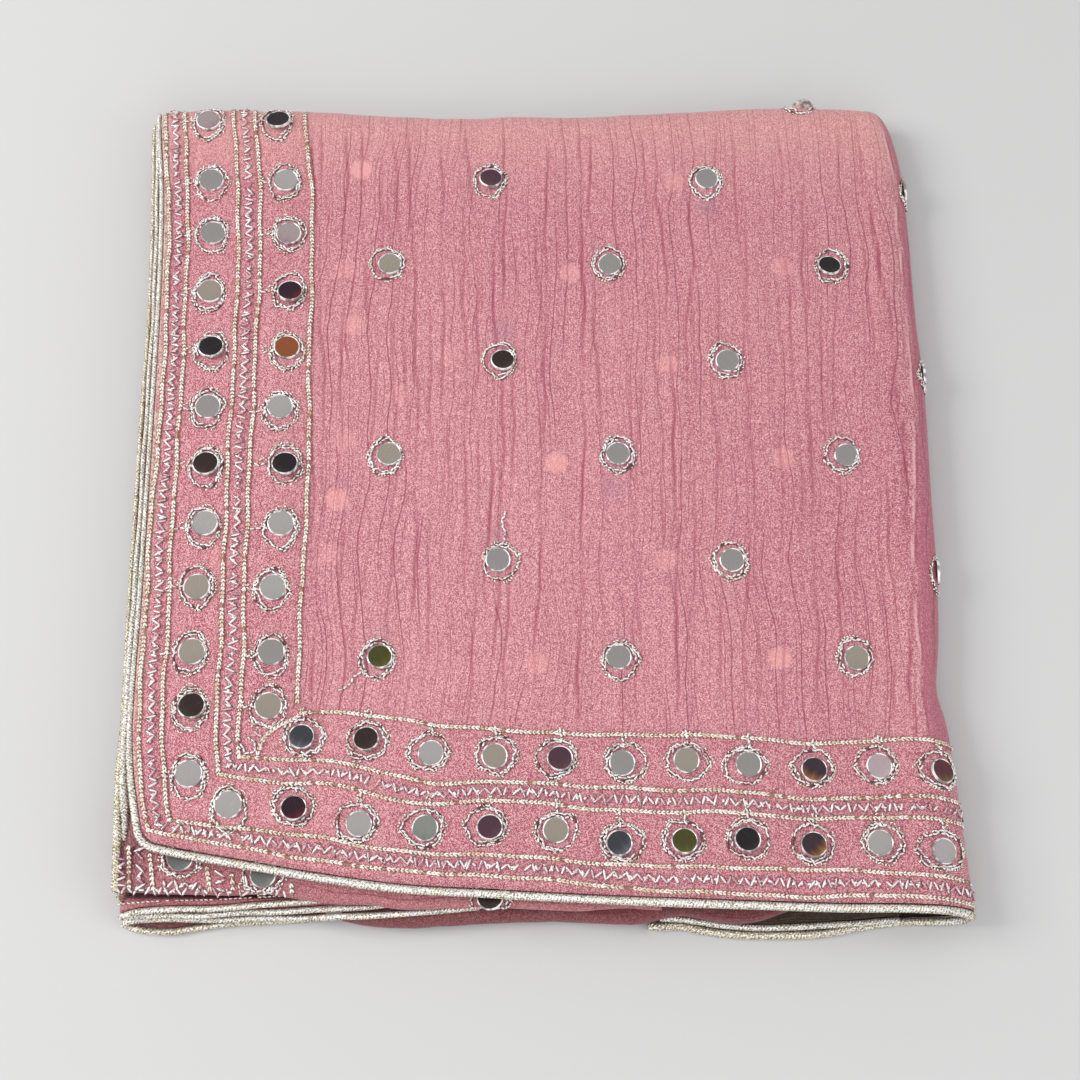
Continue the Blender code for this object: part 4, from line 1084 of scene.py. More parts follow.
@dataclass(frozen=True)
class MirrorFinish:
    """Small glass mirrors: silver rim, and a face that gives back its surroundings, partly through its
    metal and mostly as a painted reflection in its colour.
    """

    name: str = "small mirrors"
    roughness: float = 0.24
    metallic: float = 0.45
    scuff: Colour = (0.6, 0.58, 0.56)
    rim: tuple[Colour, Colour] = ((0.30, 0.27, 0.26), (0.98, 0.97, 0.95))

    def material(self) -> Finish:
        """Build the material.

        Returns:
            The material. It reads tone_a, tone_b and disc: x and y on the face, rim.
        """
        made, board, shader = new_finish(self.name, self.metallic)
        tone_a, tone_b, disc = (board.read(name, "Vector") for name in ("tone_a", "tone_b", "disc"))
        _, up, on_rim = board.split(disc)
        cloud = board.noise(disc, (1.6, 0.7, 0.0), 2.0, 2.0)
        across = board.step(board.math("MULTIPLY_ADD", cloud, 0.8, up), 0.05, 0.90)
        scuffs = board.noise(disc, (14.0, 1.6, 0.0), 2.0, 6.0)
        # The face's colour is a painted reflection: two tones that run into each other
        colour = board.mix(across, tone_b, tone_a)
        colour = board.mix(board.step(scuffs, 0.64, 0.8, 0.0, 0.1), colour, self.scuff)
        place = board.add("ShaderNodeTexCoord").outputs["Object"]
        around = board.step(board.noise(place, (380.0, 380.0, 380.0), 2.0, 8.0), 0.40, 0.60)
        board.put(shader["Base Color"], board.mix(on_rim, colour, board.mix(around, *self.rim)))
        rough = board.step(scuffs, 0.5, 0.8, self.roughness, self.roughness + 0.15)
        board.put(shader["Roughness"], board.math("MULTIPLY_ADD", on_rim, 0.18, rough))
        return made


# ---- Geometry node trees


class SewingTree(Board):
    """A geometry node tree with named inputs, which sews, lays or sets a piece."""

    def __init__(self, name: str, takes: Sequence[tuple[str, str]]) -> None:
        """Start the tree.

        Args:
            name: Its name.
            takes: Its inputs after the geometry: name and socket type.
        """
        super().__init__(bpy.data.node_groups.new(name, "GeometryNodeTree"))
        face = self.tree.interface
        for label, kind in (("Geometry", "Geometry"), *takes):
            face.new_socket(label, in_out="INPUT", socket_type="NodeSocket" + kind)
        face.new_socket("Geometry", in_out="OUTPUT", socket_type="NodeSocketGeometry")
        self.take = self.add("NodeGroupInput").outputs
        self.made = self.add("NodeGroupOutput").inputs

    def named(self, name: str, kind: str = "FLOAT") -> Any:
        """The socket of an attribute."""
        return self.add("GeometryNodeInputNamedAttribute", {"Name": name}, data_type=kind).outputs[0]

    def keep(self, geometry: Any, name: str, value: Any, kind: str = "FLOAT",
             domain: str = "POINT") -> Any:
        """The socket of a geometry that has a field stored on it."""
        return self.add("GeometryNodeStoreNamedAttribute", {
            "Geometry": geometry, "Name": name, "Value": value}, data_type=kind,
            domain=domain).outputs[0]

    def chance(self, low: float, high: float, seed: Any) -> Any:
        """The socket of a random number between two limits."""
        return self.add("FunctionNodeRandomValue", {2: low, 3: high, "Seed": seed}).outputs[1]

    def even_line(self, spacing: Any) -> Any:
        """The socket of the base's lines, with evenly spaced points."""
        curve = self.add("GeometryNodeMeshToCurve", {0: self.take["Geometry"]}).outputs[0]
        return self.add("GeometryNodeResampleCurve", {"Curve": curve, "Length": spacing},
                        mode="LENGTH").outputs[0]

    def frame_of(self, up: Any, along: Any) -> Any:
        """The socket of a turn that lays z along up, and y as near as can be to along."""
        return self.add("FunctionNodeAxesToRotation", {0: up, 1: along}, primary_axis="Z",
                        secondary_axis="Y").outputs[0]

    def close(self, geometry: Any, material: Any) -> Tree:
        """End the tree: instances made real, then their material.

        Args:
            geometry: The socket of the result.
            material: The socket of its material.

        Returns:
            The tree.
        """
        real = self.add("GeometryNodeRealizeInstances", {0: geometry}).outputs[0]
        dressed = self.add("GeometryNodeSetMaterial", {"Geometry": real, "Material": material})
        self.put(self.made[0], dressed.outputs[0])
        return self.tree


def stitch_tree() -> Tree:
    """The tree that sews stitches along paths.

    Returns:
        A tree whose base is a mesh of lines with the attribute up at every point.
    """
    board = SewingTree("sewn row", (
        ("Stitch", "Object"), ("Spacing", "Float"), ("Lean", "Float"), ("Looseness", "Float"),
        ("Smallest", "Float"), ("Missing", "Float"), ("Seed", "Int"), ("Thread", "Material")))
    take = board.take
    even = board.even_line(take["Spacing"])
    along = board.add("GeometryNodeInputTangent").outputs[0]
    laid = board.frame_of(board.named("up", "FLOAT_VECTOR"), along)
    index = board.add("GeometryNodeInputIndex").outputs[0]
    seeds = [take["Seed"]] + [board.math("ADD", take["Seed"], float(k)) for k in (3, 5, 7, 9)]
    # Every other stitch leans the other way; loose ones turn and roll a little more
    other = board.math("MULTIPLY_ADD", board.math("MODULO", index, 2.0), 2.0, -1.0)
    loose = board.times(board.chance(-1.0, 1.0, seeds[0]), take["Looseness"])
    yaw = board.math("MULTIPLY_ADD", other, take["Lean"], loose)
    roll = board.times(board.chance(-1.0, 1.0, seeds[1]), board.times(take["Looseness"], 0.6))
    twist = board.add("ShaderNodeCombineXYZ", {0: roll, 2: yaw}).outputs[0]
    turn = board.add("FunctionNodeEulerToRotation", {0: twist}).outputs[0]
    turned = board.add("FunctionNodeRotateRotation", {0: laid, 1: turn}, rotation_space="LOCAL")
    small = board.math("SUBTRACT", take["Smallest"], 1.0)
    size = board.math("MULTIPLY_ADD", board.chance(0.0, 1.0, seeds[3]), small,
                      board.chance(1.0, 1.12, seeds[2]))
    sizes = board.add("ShaderNodeCombineXYZ", {0: 1.0, 1: size, 2: size})
    kept = board.math("GREATER_THAN", board.chance(0.0, 1.0, seeds[4]), take["Missing"])
    shape = board.add("GeometryNodeObjectInfo", {"Object": take["Stitch"]})
    sewn = board.add("GeometryNodeInstanceOnPoints", {
        "Points": even, "Selection": kept, "Instance": shape.outputs["Geometry"],
        "Rotation": turned.outputs[0], "Scale": sizes.outputs[0]}).outputs[0]
    toned = board.keep(sewn, "tone", board.chance(0.0, 1.0, seeds[2]), domain="INSTANCE")
    return board.close(toned, take["Thread"])


def rope_tree() -> Tree:
    """The tree that lays a metal piping or cord along paths.

    Returns:
        A tree whose base is a mesh of lines with the attribute thick at every point.
    """
    board = SewingTree("laid piping", (("Radius", "Float"), ("Ring Spacing", "Float"),
                                       ("Sides", "Int"), ("Thread", "Material")))
    take = board.take
    length = board.add("GeometryNodeSplineParameter").outputs["Length"]
    line = board.keep(board.even_line(take["Ring Spacing"]), "along",
                      board.times(length, 1.0 / MM))
    circle = board.add("GeometryNodeCurvePrimitiveCircle", {"Resolution": take["Sides"],
                                                            "Radius": take["Radius"]})
    place = board.add("GeometryNodeInputPosition").outputs[0]
    profile = board.keep(circle.outputs[0], "round", place, "FLOAT_VECTOR")
    swept = board.add("GeometryNodeCurveToMesh", {
        "Curve": line, "Profile Curve": profile, "Scale": board.named("thick"),
        "Fill Caps": True})
    smooth = board.add("GeometryNodeSetShadeSmooth", {0: swept.outputs[0]})
    # crown: how much the rope faces up, which its finish paints as highlight and shade
    out = board.split(board.add("GeometryNodeInputNormal").outputs[0])
    crowned = board.keep(smooth.outputs[0], "crown", out[2])
    return board.close(crowned, take["Thread"])


def mirror_tree() -> Tree:
    """The tree that sets a mirror at every point.

    Returns:
        A tree whose base is a mesh of points with up, along, size, tone_a and tone_b.
    """
    board = SewingTree("set mirrors", (("Mirror", "Object"), ("Glass", "Material")))
    take = board.take
    laid = board.frame_of(*(board.named(name, "FLOAT_VECTOR") for name in ("up", "along")))
    shape = board.add("GeometryNodeObjectInfo", {"Object": take["Mirror"]})
    points = board.add("GeometryNodeMeshToPoints", {0: take["Geometry"]})
    placed = board.add("GeometryNodeInstanceOnPoints", {
        "Points": points.outputs[0], "Instance": shape.outputs["Geometry"], "Rotation": laid,
        "Scale": board.named("size")})
    return board.close(placed.outputs[0], take["Glass"])


def run_tree(tree: Tree, base: Piece, name: str, values: dict[str, Any], *nodes: str) -> Piece:
    """Run a geometry tree on a base mesh and fix the result to the packet as a plain mesh.

    Args:
        tree: The tree.
        base: The object that holds the paths or points. It is removed.
        name: The new piece's name.
        values: The tree's inputs, by name. A shape among them is removed too.
        nodes: The CAD nodes that the piece replaces.

    Returns:
        The new piece.
    """
    worker = base.modifiers.new(tree.name, "NODES")
    worker.node_group = tree
    for item in tree.interface.items_tree:
        if item.in_out == "INPUT" and item.name in values:
            worker[item.identifier] = values[item.name]
    view = bpy.context.evaluated_depsgraph_get()
    mesh = bpy.data.meshes.new_from_object(base.evaluated_get(view), depsgraph=view)
    for used in (base, *values.values()):
        if isinstance(used, Piece):
            bpy.data.objects.remove(used, do_unlink=True)
    mesh.name = name
    return ride_root(new_object(name, mesh), "silver_gold_piping", *nodes)


@dataclass
class Path:
    """A line that stitches or piping follow, with the way that is up at each point."""

    points: Array
    up: Array
    closed: bool = False


def flat_path(points: Array, closed: bool = False) -> Path:
    """A path with the table's up at every point."""
    return Path(points, np.tile(UP, (len(points), 1)), closed)


def cloth_path(s: Array, t: Array, lift: float, closed: bool = False) -> Path:
    """A path at a height over the outer ply."""
    return Path(on_outer_ply(s, t, lift), facing(s, t), closed)


def lines_mesh(name: str, paths: Sequence[Path]) -> Piece:
    """A mesh of lines for a tree to work along.

    Args:
        name: The name of the piece that it is for.
        paths: The lines.

    Returns:
        The mesh object, with the attribute up.
    """
    edges: list[Pair] = []
    first = 0
    for path in paths:
        count = len(path.points)
        edges += [(first + i, first + i + 1) for i in range(count - 1)]
        if path.closed:
            edges.append((first + count - 1, first))
        first += count
    points = np.concatenate([path.points for path in paths])
    piece = mesh_object(name + " lines", from_table(points), (), edges, smooth=False)
    store(piece, "up", np.concatenate([path.up for path in paths]))
    return piece


# ---- Single stitches

# Profiles of a stitch along its length: share of the length, thickness, spread of its strands
OVAL: Rows = ((-0.5, 0.55, 0.1), (-0.3, 0.92, 0.75), (0.0, 1.0, 1.0), (0.3, 0.92, 0.6),
              (0.5, 0.55, -0.1))
VEE: Rows = ((-0.5, 0.7, 0.0), (-0.15, 1.0, 0.55), (0.2, 1.0, 1.0), (0.5, 0.6, 1.1))


@dataclass(frozen=True)
class StitchShape:
    """One stitch of metal thread: a bar, or two strands that spread from one end."""

    name: str
    length: float
    radius: float
    half_width: float = 0.0
    sides: int = 4
    profile: Rows = OVAL

    def build(self) -> Piece:
        """Model the stitch along y, with its middle at the origin.

        Returns:
            A mesh object in metres with the attribute ridge.
        """
        points: list[Point] = []
        faces: list[tuple[int, ...]] = []
        turns = [2.0 * math.pi * k / self.sides for k in range(self.sides)]
        for side in (-1.0, 1.0) if self.half_width > 0.0 else (0.0,):
            first = len(points)
            for share, wide, out in self.profile:
                x, y = side * self.half_width * out, share * self.length
                z, radius = self.radius * (0.5 - 1.6 * share * share), self.radius * wide
                points += [(x + radius * math.cos(a), y, z + radius * math.sin(a)) for a in turns]
            strand = tube_faces(len(self.profile), self.sides, first)
            faces += strand[:-1] + [tuple(range(first, first + self.sides)), strand[-1]]
        places = np.array(points)
        piece = mesh_object(self.name, (places * MM).tolist(), faces)
        # ridge: high on a stitch's top and middle, low underneath and at its ends, where its thread's
        # finish paints shade
        ridge = 0.75 + 0.5 * places[:, 2] / self.radius - 3.2 * (places[:, 1] / self.length)**2
        store(piece, "ridge", np.clip(ridge, 0.0, 1.0))
        return piece


CHAIN_STITCH = StitchShape("chain stitch", length=2.4, radius=0.38, half_width=0.46, profile=VEE)
ZIGZAG_BAR = StitchShape("zigzag bar", length=4.7, radius=0.42)
FLECK = StitchShape("fleck", length=2.4, radius=0.50)
RING_BAR = StitchShape("ring bar", length=2.4, radius=0.40)
THREAD_BIT = StitchShape("thread bit", length=1.5, radius=0.30)


def laid_cord(name: str, paths: Sequence[Path], radius: float, tree: Tree,
              thread: Finish) -> Piece:
    """Lay a thin cord half sunk in the cloth, under the stitches of a row.

    Args:
        name: The new piece's name.
        paths: The lines to follow.
        radius: The cord's radius in millimetres.
        tree: The rope tree.
        thread: The cord's material.

    Returns:
        The cord, fixed to the packet.
    """
    sunk = [Path(path.points - CORD_SUNK * radius * path.up, path.up, path.closed)
            for path in paths]
    lines = lines_mesh(name, sunk)
    store(lines, "thick", np.ones(len(lines.data.vertices)))
    return run_tree(tree, lines, name, {"Radius": radius * MM, "Ring Spacing": CORD_SPACING * MM,
                                        "Sides": CORD_SIDES, "Thread": thread})


@dataclass(frozen=True)
class SewnRow:
    """How a row of stitches is laid: lean and looseness in degrees, the rest in shares."""

    shape: StitchShape
    spacing: float
    lean: float
    looseness: float
    smallest: float
    missing: float
    seed: int

    def sew(self, name: str, paths: Sequence[Path], tree: Tree, thread: Finish) -> Piece:
        """Sew the stitches along the paths.

        Args:
            name: The new piece's name.
            paths: The lines to follow.
            tree: The stitch tree.
            thread: The thread's material.

        Returns:
            All the stitches as one piece.
        """
        stitch = self.shape.build()
        return run_tree(tree, lines_mesh(name, paths), name, {
            "Stitch": stitch, "Spacing": self.spacing * MM, "Lean": math.radians(self.lean),
            "Looseness": math.radians(self.looseness), "Smallest": self.smallest,
            "Missing": self.missing, "Seed": self.seed, "Thread": thread})


# ---- The cloth


@dataclass
class OuterPly:
    """The outer ply: a thin shell over the top, round the right fold and underneath."""

    thickness: float = 0.6
    column: float = 0.52
    row: float = 4.0
    bend_columns: int = 36
    under_columns: int = 26
    nose_rows: int = 20
    crinkle_half: float = 0.62
    cut: Pair = (0.606, 0.334)

    def edge_s(self, t: Array) -> Array:
        """s of the cut edge at the left, just inside the piping."""
        return left_piping(t) + PIPE_RADIUS * top_pipe_share(t) + SEAM

    def edge_t(self, s: Array) -> Array:
        """The cut edge at the front, rounded at the piped corner.

        Args:
            s: Cloth from left to right.

        Returns:
            t of the edge.
        """
        corner = float(left_piping(CORNER_FRONT)) + PIPE_RADIUS + SEAM
        into = np.clip(CORNER_RADIUS - (s - corner), 0.0, CORNER_RADIUS)
        rounding = CORNER_RADIUS - np.sqrt(CORNER_RADIUS**2 - into**2)
        return front_edge(s) + PIPE_RADIUS + SEAM + rounding

    def cloth_grid(self) -> tuple[Array, Array]:
        """The grid of cloth points that the shell is made on.

        Returns:
            s and t, rows from front to back and columns from left to right.
        """
        left = float(left_piping(150.0)) + PIPE_RADIUS + SEAM
        top = np.linspace(left, BEND_START, round((BEND_START - left) / self.column) + 1)
        bend = np.linspace(BEND_START, BEND_END, self.bend_columns + 1)[1:]
        last = UNDER_LEFT - PIPE_RADIUS - SEAM
        under = np.linspace(BEND_END, last, self.under_columns + 1)[1:]
        base = np.concatenate((top, bend, under))
        fade = 1.0 - ramp(base, left, left + BORDER_WIDTH)
        flat = np.linspace(0.0, 1.0, round((NOSE_START + 150.0) / self.row) + 1)
        front = self.edge_t(base + (float(self.edge_s(np.array(CORNER_FRONT))) - left) * fade)
        rows = [front + (NOSE_START - front) * share for share in flat]
        nose = np.linspace(NOSE_START, NOSE_LAST, self.nose_rows + 1)[1:]
        t = np.array(rows + [np.full_like(base, place) for place in nose])
        return base[None, :] + (self.edge_s(t) - left) * fade[None, :], t

    def crinkle(self, s: Array, t: Array) -> tuple[Array, Array]:
        """Lift of the long crinkles: narrow troughs with soft shoulders.

        Args:
            s: Cloth from left to right.
            t: Cloth from front to back.

        Returns:
            The lift in millimetres, and how deep in a trough each point is, which the cloth's finish
            darkens as painted shade.
        """
        trough = np.zeros_like(s)
        lift = 0.10 * np.sin(s / 3.1 + 1.7 * np.sin(t / 41.0)) * np.sin(t / 57.0 + s / 23.0)
        for back_x, back_y, middle_x, front_x, front_y, depth in CRINKLES:
            share = np.clip((back_y - t) / (back_y - front_y), 0.0, 1.0)
            bow = 4.0 * share * (1.0 - share) * (middle_x - 0.5 * (back_x + front_x))
            line = back_x + (front_x - back_x) * share + bow
            line = line + 0.55 * np.sin(t / 9.0 + back_x) + 0.3 * np.sin(t / 4.3 + front_x)
            far = (s - line) / self.crinkle_half
            ends = ramp(t, front_y - 6.0, front_y + 14.0)
            ends = ends * (1.0 - ramp(t, back_y - 10.0, back_y + 8.0))
            uneven = 0.65 + 0.35 * np.sin(t / 13.0 + 2.1 * back_x)
            shape = -np.exp(-far**2) + 0.42 * np.exp(-((np.abs(far) - 2.1) / 1.1)**2)
            lift = lift + depth * uneven * ends * shape
            line_depth = 2.5 * depth * uneven * ends * np.exp(-(1.25 * far)**2)
            trough = np.maximum(trough, line_depth)
        return lift, np.clip(trough, 0.0, 1.0)

    def pucker(self, s: Array, t: Array) -> Array:
        """Lift of the worked borders: the cloth is drawn in along the chain lines.

        Args:
            s: Cloth from left to right.
            t: Cloth from front to back.

        Returns:
            The lift in millimetres.
        """
        lift = np.zeros_like(s)
        for line in range(1, 6):
            from_side = s - left_piping(t) - TableCurve(SIDE_LINES, line)(t)
            from_front = t - front_edge(s)
            from_front = from_front - TableCurve(FRONT_LINES, line)(np.minimum(s, LAST_LINE_X))
            on_side = np.exp(-(from_side / 1.3)**2) * ramp(from_front, -2.0, 0.0)
            on_front = np.exp(-(from_front / 1.6)**2) * ramp(from_side, -2.0, 0.0)
            lift = lift - 0.28 * np.maximum(on_side, on_front)
        border = 1.0 - ramp(np.minimum(s - left_piping(t), t - front_edge(s)), 50.0, 64.0)
        wrinkle = np.sin(s / 2.3 + t / 6.1) * np.sin(t / 2.9 - s / 7.3)
        return lift + 0.12 * border * wrinkle

    def inner_face(self, s: Array, t: Array, rim: list[int]) -> tuple[Array, Array, Iterable]:
        """The coarser inner face, which shares its rim with the outer one.

        Args:
            s: Cloth from left to right, of the outer grid.
            t: Cloth from front to back, of the outer grid.
            rim: Indices of the grid's edge points.

        Returns:
            s and t of its points, and its faces.
        """
        bend = slice(s.shape[1] - self.under_columns - self.bend_columns, -self.under_columns, 4)
        picks = ((slice(5, -2, 4), slice(8, -1, 12)), (slice(2, -2, 2), bend),
                 (slice(-18, -2, 3), slice(3, -2, 9)))
        flat = [Vector(p) for p in zip(*(
            np.concatenate([grid.ravel()[rim]] + [grid[pick].ravel() for pick in picks])
            for grid in (s, t)))]
        loop = [(i, (i + 1) % len(rim)) for i in range(len(rim))]
        kept, _, faces, _, _, _ = delaunay_2d_cdt(flat, loop, [], 1, 1e-5)
        return np.array([p[0] for p in kept]), np.array([p[1] for p in kept]), faces

    def build(self, cloth: Finish, reverse: Finish) -> Piece:
        """Model the shell.

        Args:
            cloth: The outer face's material.
            reverse: The inner face's material.

        Returns:
            The finished cloth, which stands for the solid top_ply.
        """
        s, t = self.cloth_grid()
        lift, trough = self.crinkle(s, t)
        fine = (lift + self.pucker(s, t)) * (1.0 - ramp(s, BEND_END - 16.0, BEND_END))
        outer = on_outer_ply(s, t, fine).reshape(-1, 3)
        rim = rim_of(*s.shape)
        inner_s, inner_t, inner_faces = self.inner_face(s, t, rim)
        inner = on_outer_ply(inner_s, inner_t, -self.thickness)
        offset = len(outer)
        faces = grid_faces(*s.shape)
        outside = len(faces)
        faces += [tuple(i + offset for i in reversed(face)) for face in inner_faces]
        for i, a in enumerate(rim):
            j = (i + 1) % len(rim)
            faces.append((a, i + offset, j + offset, rim[j]))
        piece = mesh_object("outer_ply", from_table(np.concatenate((outer, inner))), faces)
        all_s = np.concatenate((s.ravel(), inner_s))
        all_t = np.concatenate((t.ravel(), inner_t))
        edge = np.minimum(all_s - left_piping(all_t), all_t - front_edge(all_s))
        store(piece, "cloth", np.stack((all_s, all_t, edge), axis=-1))
        store(piece, "trough", np.concatenate((trough.ravel(), np.zeros(len(inner_s)))))
        piece.data.materials.append(cloth)
        piece.data.materials.append(reverse)
        for face in piece.data.polygons[outside:]:
            face.material_index = 1
        return ride_root(piece, "rose_tissue", "top_ply")


def closed_wall(name: str, grids: Sequence[Array], run: Array, length: Array,
                finish: Finish) -> Piece:
    """A thin closed wall of cloth between two grids of points.

    Args:
        name: Its name.
        grids: Points of the outer face and of the inner one, rows by columns.
        run: Cloth coordinate s of the grid's points.
        length: Cloth coordinate t of the grid's points.
        finish: Its material.

    Returns:
        The piece.
    """
    rows, columns = grids[0].shape[:2]
    offset = rows * columns
    faces = grid_faces(rows, columns)
    faces += [tuple(reversed(face)) for face in grid_faces(rows, columns, offset)]
    rim = rim_of(rows, columns)
    for a, b in zip(rim, rim[1:] + rim[:1]):
        faces.append((a, a + offset, b + offset, b))
    points = np.concatenate([grid.reshape(-1, 3) for grid in grids])
    piece = mesh_object(name, from_table(points), faces)
    working = bmesh.new()
    working.from_mesh(piece.data)
    bmesh.ops.recalc_face_normals(working, faces=working.faces)
    working.to_mesh(piece.data)
    working.free()
    shape = (rows, columns)
    cloth = np.stack([np.broadcast_to(part, shape) for part in (run, length, FAR_FROM_EDGE)], -1)
    store(piece, "cloth", np.tile(cloth.reshape(-1, 3), (2, 1)))
    piece.data.materials.append(finish)
    return piece


@dataclass
class FrontFold:
    """A ply that is folded at the front: an upper leaf, a round nose and a lower leaf."""

    name: str
    rows: Rows
    rise: float
    slot: str
    node: str
    leaf: float = 0.9
    column: float = 1.6
    wrinkle: float = 0.16
    shift: float = 0.0
    reach_left: float = 0.0
    tail: float = 0.0
    tail_drop: float = 4.0
    leaf_run: float = 12.0
    nose_run: float = 8.0

    def build(self, finish: Finish) -> Piece:
        """Model the fold.

        Args:
            finish: The cloth's material.

        Returns:
            The finished fold, which stands for its solid.
        """
        nose, middle, half = (TableCurve(self.rows, value) for value in (1, 2, 3))
        first, last = self.rows[0][0] - self.reach_left, self.rows[-1][0]
        x = np.linspace(first, last, round((last - first) / self.column) + 1)
        column = x[:, None]
        upper = np.linspace(0.0, 1.0, 9)[:-1]
        angles = np.radians(np.linspace(90.0, -90.0, 15))
        lower = np.linspace(0.0, 1.0, 6)[1:]
        run = np.concatenate((-(1.0 - upper) * self.leaf_run, np.linspace(0.0, self.nose_run, 15),
                              self.nose_run + lower * self.leaf_run))
        up, round_nose, low = np.split(np.arange(len(run)), (len(upper), len(upper) + len(angles)))
        mid, y0 = middle(column), nose(column) + half(column)
        far = front_piping(column) + LEAF_BACK
        behind = (1.0 - ramp(column, first, first + 10.0)) * (self.tail > 0.0)
        far_up = far + self.tail * behind
        grids = []
        for inset in (0.0, self.leaf):
            fine = self.wrinkle * np.sin(column / 2.6 + self.shift)
            fine = fine * np.sin(run / 3.0 + column / 11.0)
            fine = fine + 0.6 * self.wrinkle * np.sin(column / 7.7 + 2.0 * self.shift)
            radius = (half(column) - inset) + np.minimum(fine, 0.0)
            z_up = mid + radius[:, up] + (self.rise - self.tail_drop * behind) * (1.0 - upper)
            turn = radius[:, round_nose]
            y = np.concatenate((far_up + (y0 - far_up) * upper, y0 - turn * np.cos(angles),
                                y0 + (far - y0) * lower), axis=1)
            z = np.concatenate((z_up, mid + turn * np.sin(angles), mid - radius[:, low]), axis=1)
            grids.append(np.stack((np.broadcast_to(column, y.shape), y, z), axis=-1))
        piece = closed_wall(self.name, grids, run * 1.6, column + 900.0 * self.shift, finish)
        if self.tail > 0.0:
            dim = 0.42 * np.broadcast_to(1.0 - ramp(column, first + 4.0, first + 22.0), y.shape)
            store(piece, "shade", np.tile(dim.ravel(), 2))
        return ride_root(piece, self.slot, self.node)


@dataclass
class ReturnFold:
    """A ply behind a piped edge, folded back on itself with the edge."""

    name: str
    path: Rows
    slot: str
    node: str
    leaf: float = 0.9
    shift: float = 0.0
    groove: float = 0.0
    groove_y: float = -152.6

    def build(self, finish: Finish) -> Piece:
        """Model the leaves behind the piping.

        Args:
            finish: The cloth's material.

        Returns:
            The finished fold, which stands for its solid.
        """
        path = smooth_path(self.path, 2.0)
        ahead, behind = np.roll(path, -1, axis=0), np.roll(path, 1, axis=0)
        ahead[-1], behind[0] = path[-1], path[0]
        along = (ahead - behind) * (1.0, 0.0, 1.0)
        along = along / np.linalg.norm(along, axis=1, keepdims=True)
        side_x, side_z = along[:, 2, None], -along[:, 0, None]
        start = path[:, 1, None] + LOOP_PIPE_RADIUS + SEAM
        end = front_piping(path[:, 0, None]) + LEAF_BACK
        share = np.concatenate((np.linspace(0.0, 0.36, 10), np.linspace(0.42, 1.0, 6)))
        y = start + (end - start) * share
        on_top = ramp(path[:, 2, None], 8.6, 9.8)
        sunk = self.groove * on_top * ramp(y, self.groove_y - 0.7, self.groove_y + 0.5)
        length = np.concatenate(([0.0], np.cumsum(np.linalg.norm(np.diff(path, axis=0), axis=1))))
        length = length[:, None]
        wave = 0.16 * np.sin(length / 4.0 + self.shift) * np.sin(share * 5.0)
        grids = []
        for half in (0.5 * self.leaf, -0.5 * self.leaf):
            x = path[:, 0, None] + side_x * (half + wave)
            z = path[:, 2, None] + side_z * (half + wave) - sunk
            grids.append(np.stack((x, y, z), axis=-1))
        piece = closed_wall(self.name, grids, y * 1.3, length + self.shift * 70.0, finish)
        if self.groove > 0.0:
            store(piece, "shade", np.tile((0.85 * sunk / self.groove).ravel(), 2))
        return ride_root(piece, self.slot, self.node)


@dataclass
class InnerPlies:
    """The plies out of sight, shown as thin layers where the packet is open."""

    layer: float = 0.85
    depth: float = 0.26
    cuts: int = 2

    def build(self, finish: Finish) -> Piece:
        """Work the layers into a copy of the solid.

        Args:
            finish: The cloth's material.

        Returns:
            The finished plies, which stand for the solid hidden_plies.
        """
        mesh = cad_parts["hidden_plies"].data.copy()
        mesh.name = "inner_plies"
        working = bmesh.new()
        working.from_mesh(mesh)
        bmesh.ops.remove_doubles(working, verts=working.verts, dist=1e-6)
        bmesh.ops.subdivide_edges(working, edges=working.edges, cuts=self.cuts,
                                  use_grid_fill=True)
        working.normal_update()
        for point in working.verts:
            out = Vector((point.normal.x, point.normal.y, 0.0))
            x, y, z = (c / MM for c in point.co)
            swing = 0.5 * math.sin(x / 17.0 + y / 23.0)
            layer = math.sin(2.0 * math.pi * z / self.layer / 2.0 + swing)
            point.co -= out * (0.5 + 0.5 * layer) * self.depth * MM
        working.to_mesh(mesh)
        working.free()
        mesh.materials.clear()
        mesh.materials.append(finish)
        mesh.shade_smooth()
        piece = new_object("inner_plies", mesh)
        held = np.zeros(len(mesh.vertices) * 3, np.float32)
        mesh.vertices.foreach_get("co", held)
        x, y, z = (held.reshape(-1, 3) / MM).T
        store(piece, "cloth", np.stack((z * 7.0, x + y, np.full(len(x), FAR_FROM_EDGE)), axis=-1))
        return ride_root(piece, "shaded_plies", "hidden_plies")


# ---- Piping


@dataclass
class Piping:
    """Twisted metal piping sewn to the cut edges. Its swell: share of the length, thickness."""

    name: str
    node: str
    radius: float = EDGE_PIPE_RADIUS
    ring_spacing: float = 0.42
    sides: int = 14
    swell: Rows = ((0.0, 1.0), (1.0, 1.0))

    def build(self, points: Array, tree: Tree, thread: Finish) -> Piece:
        """Lay the piping along a path.

        Args:
            points: The middle of the piping.
            tree: The rope tree.
            thread: The thread's material.

        Returns:
            The finished piping, which stands for its solid.
        """
        lines = lines_mesh(self.name, [flat_path(points)])
        share = np.linspace(0.0, 1.0, len(points))
        thick = 1.0 + 0.05 * np.sin(share * 61.0 + self.radius * 9.0) * np.sin(share * 23.0)
        store(lines, "thick", thick * np.interp(share, *zip(*self.swell)))
        return run_tree(tree, lines, self.name, {
            "Radius": self.radius * MM, "Ring Spacing": self.ring_spacing * MM,
            "Sides": self.sides, "Thread": thread}, self.node)


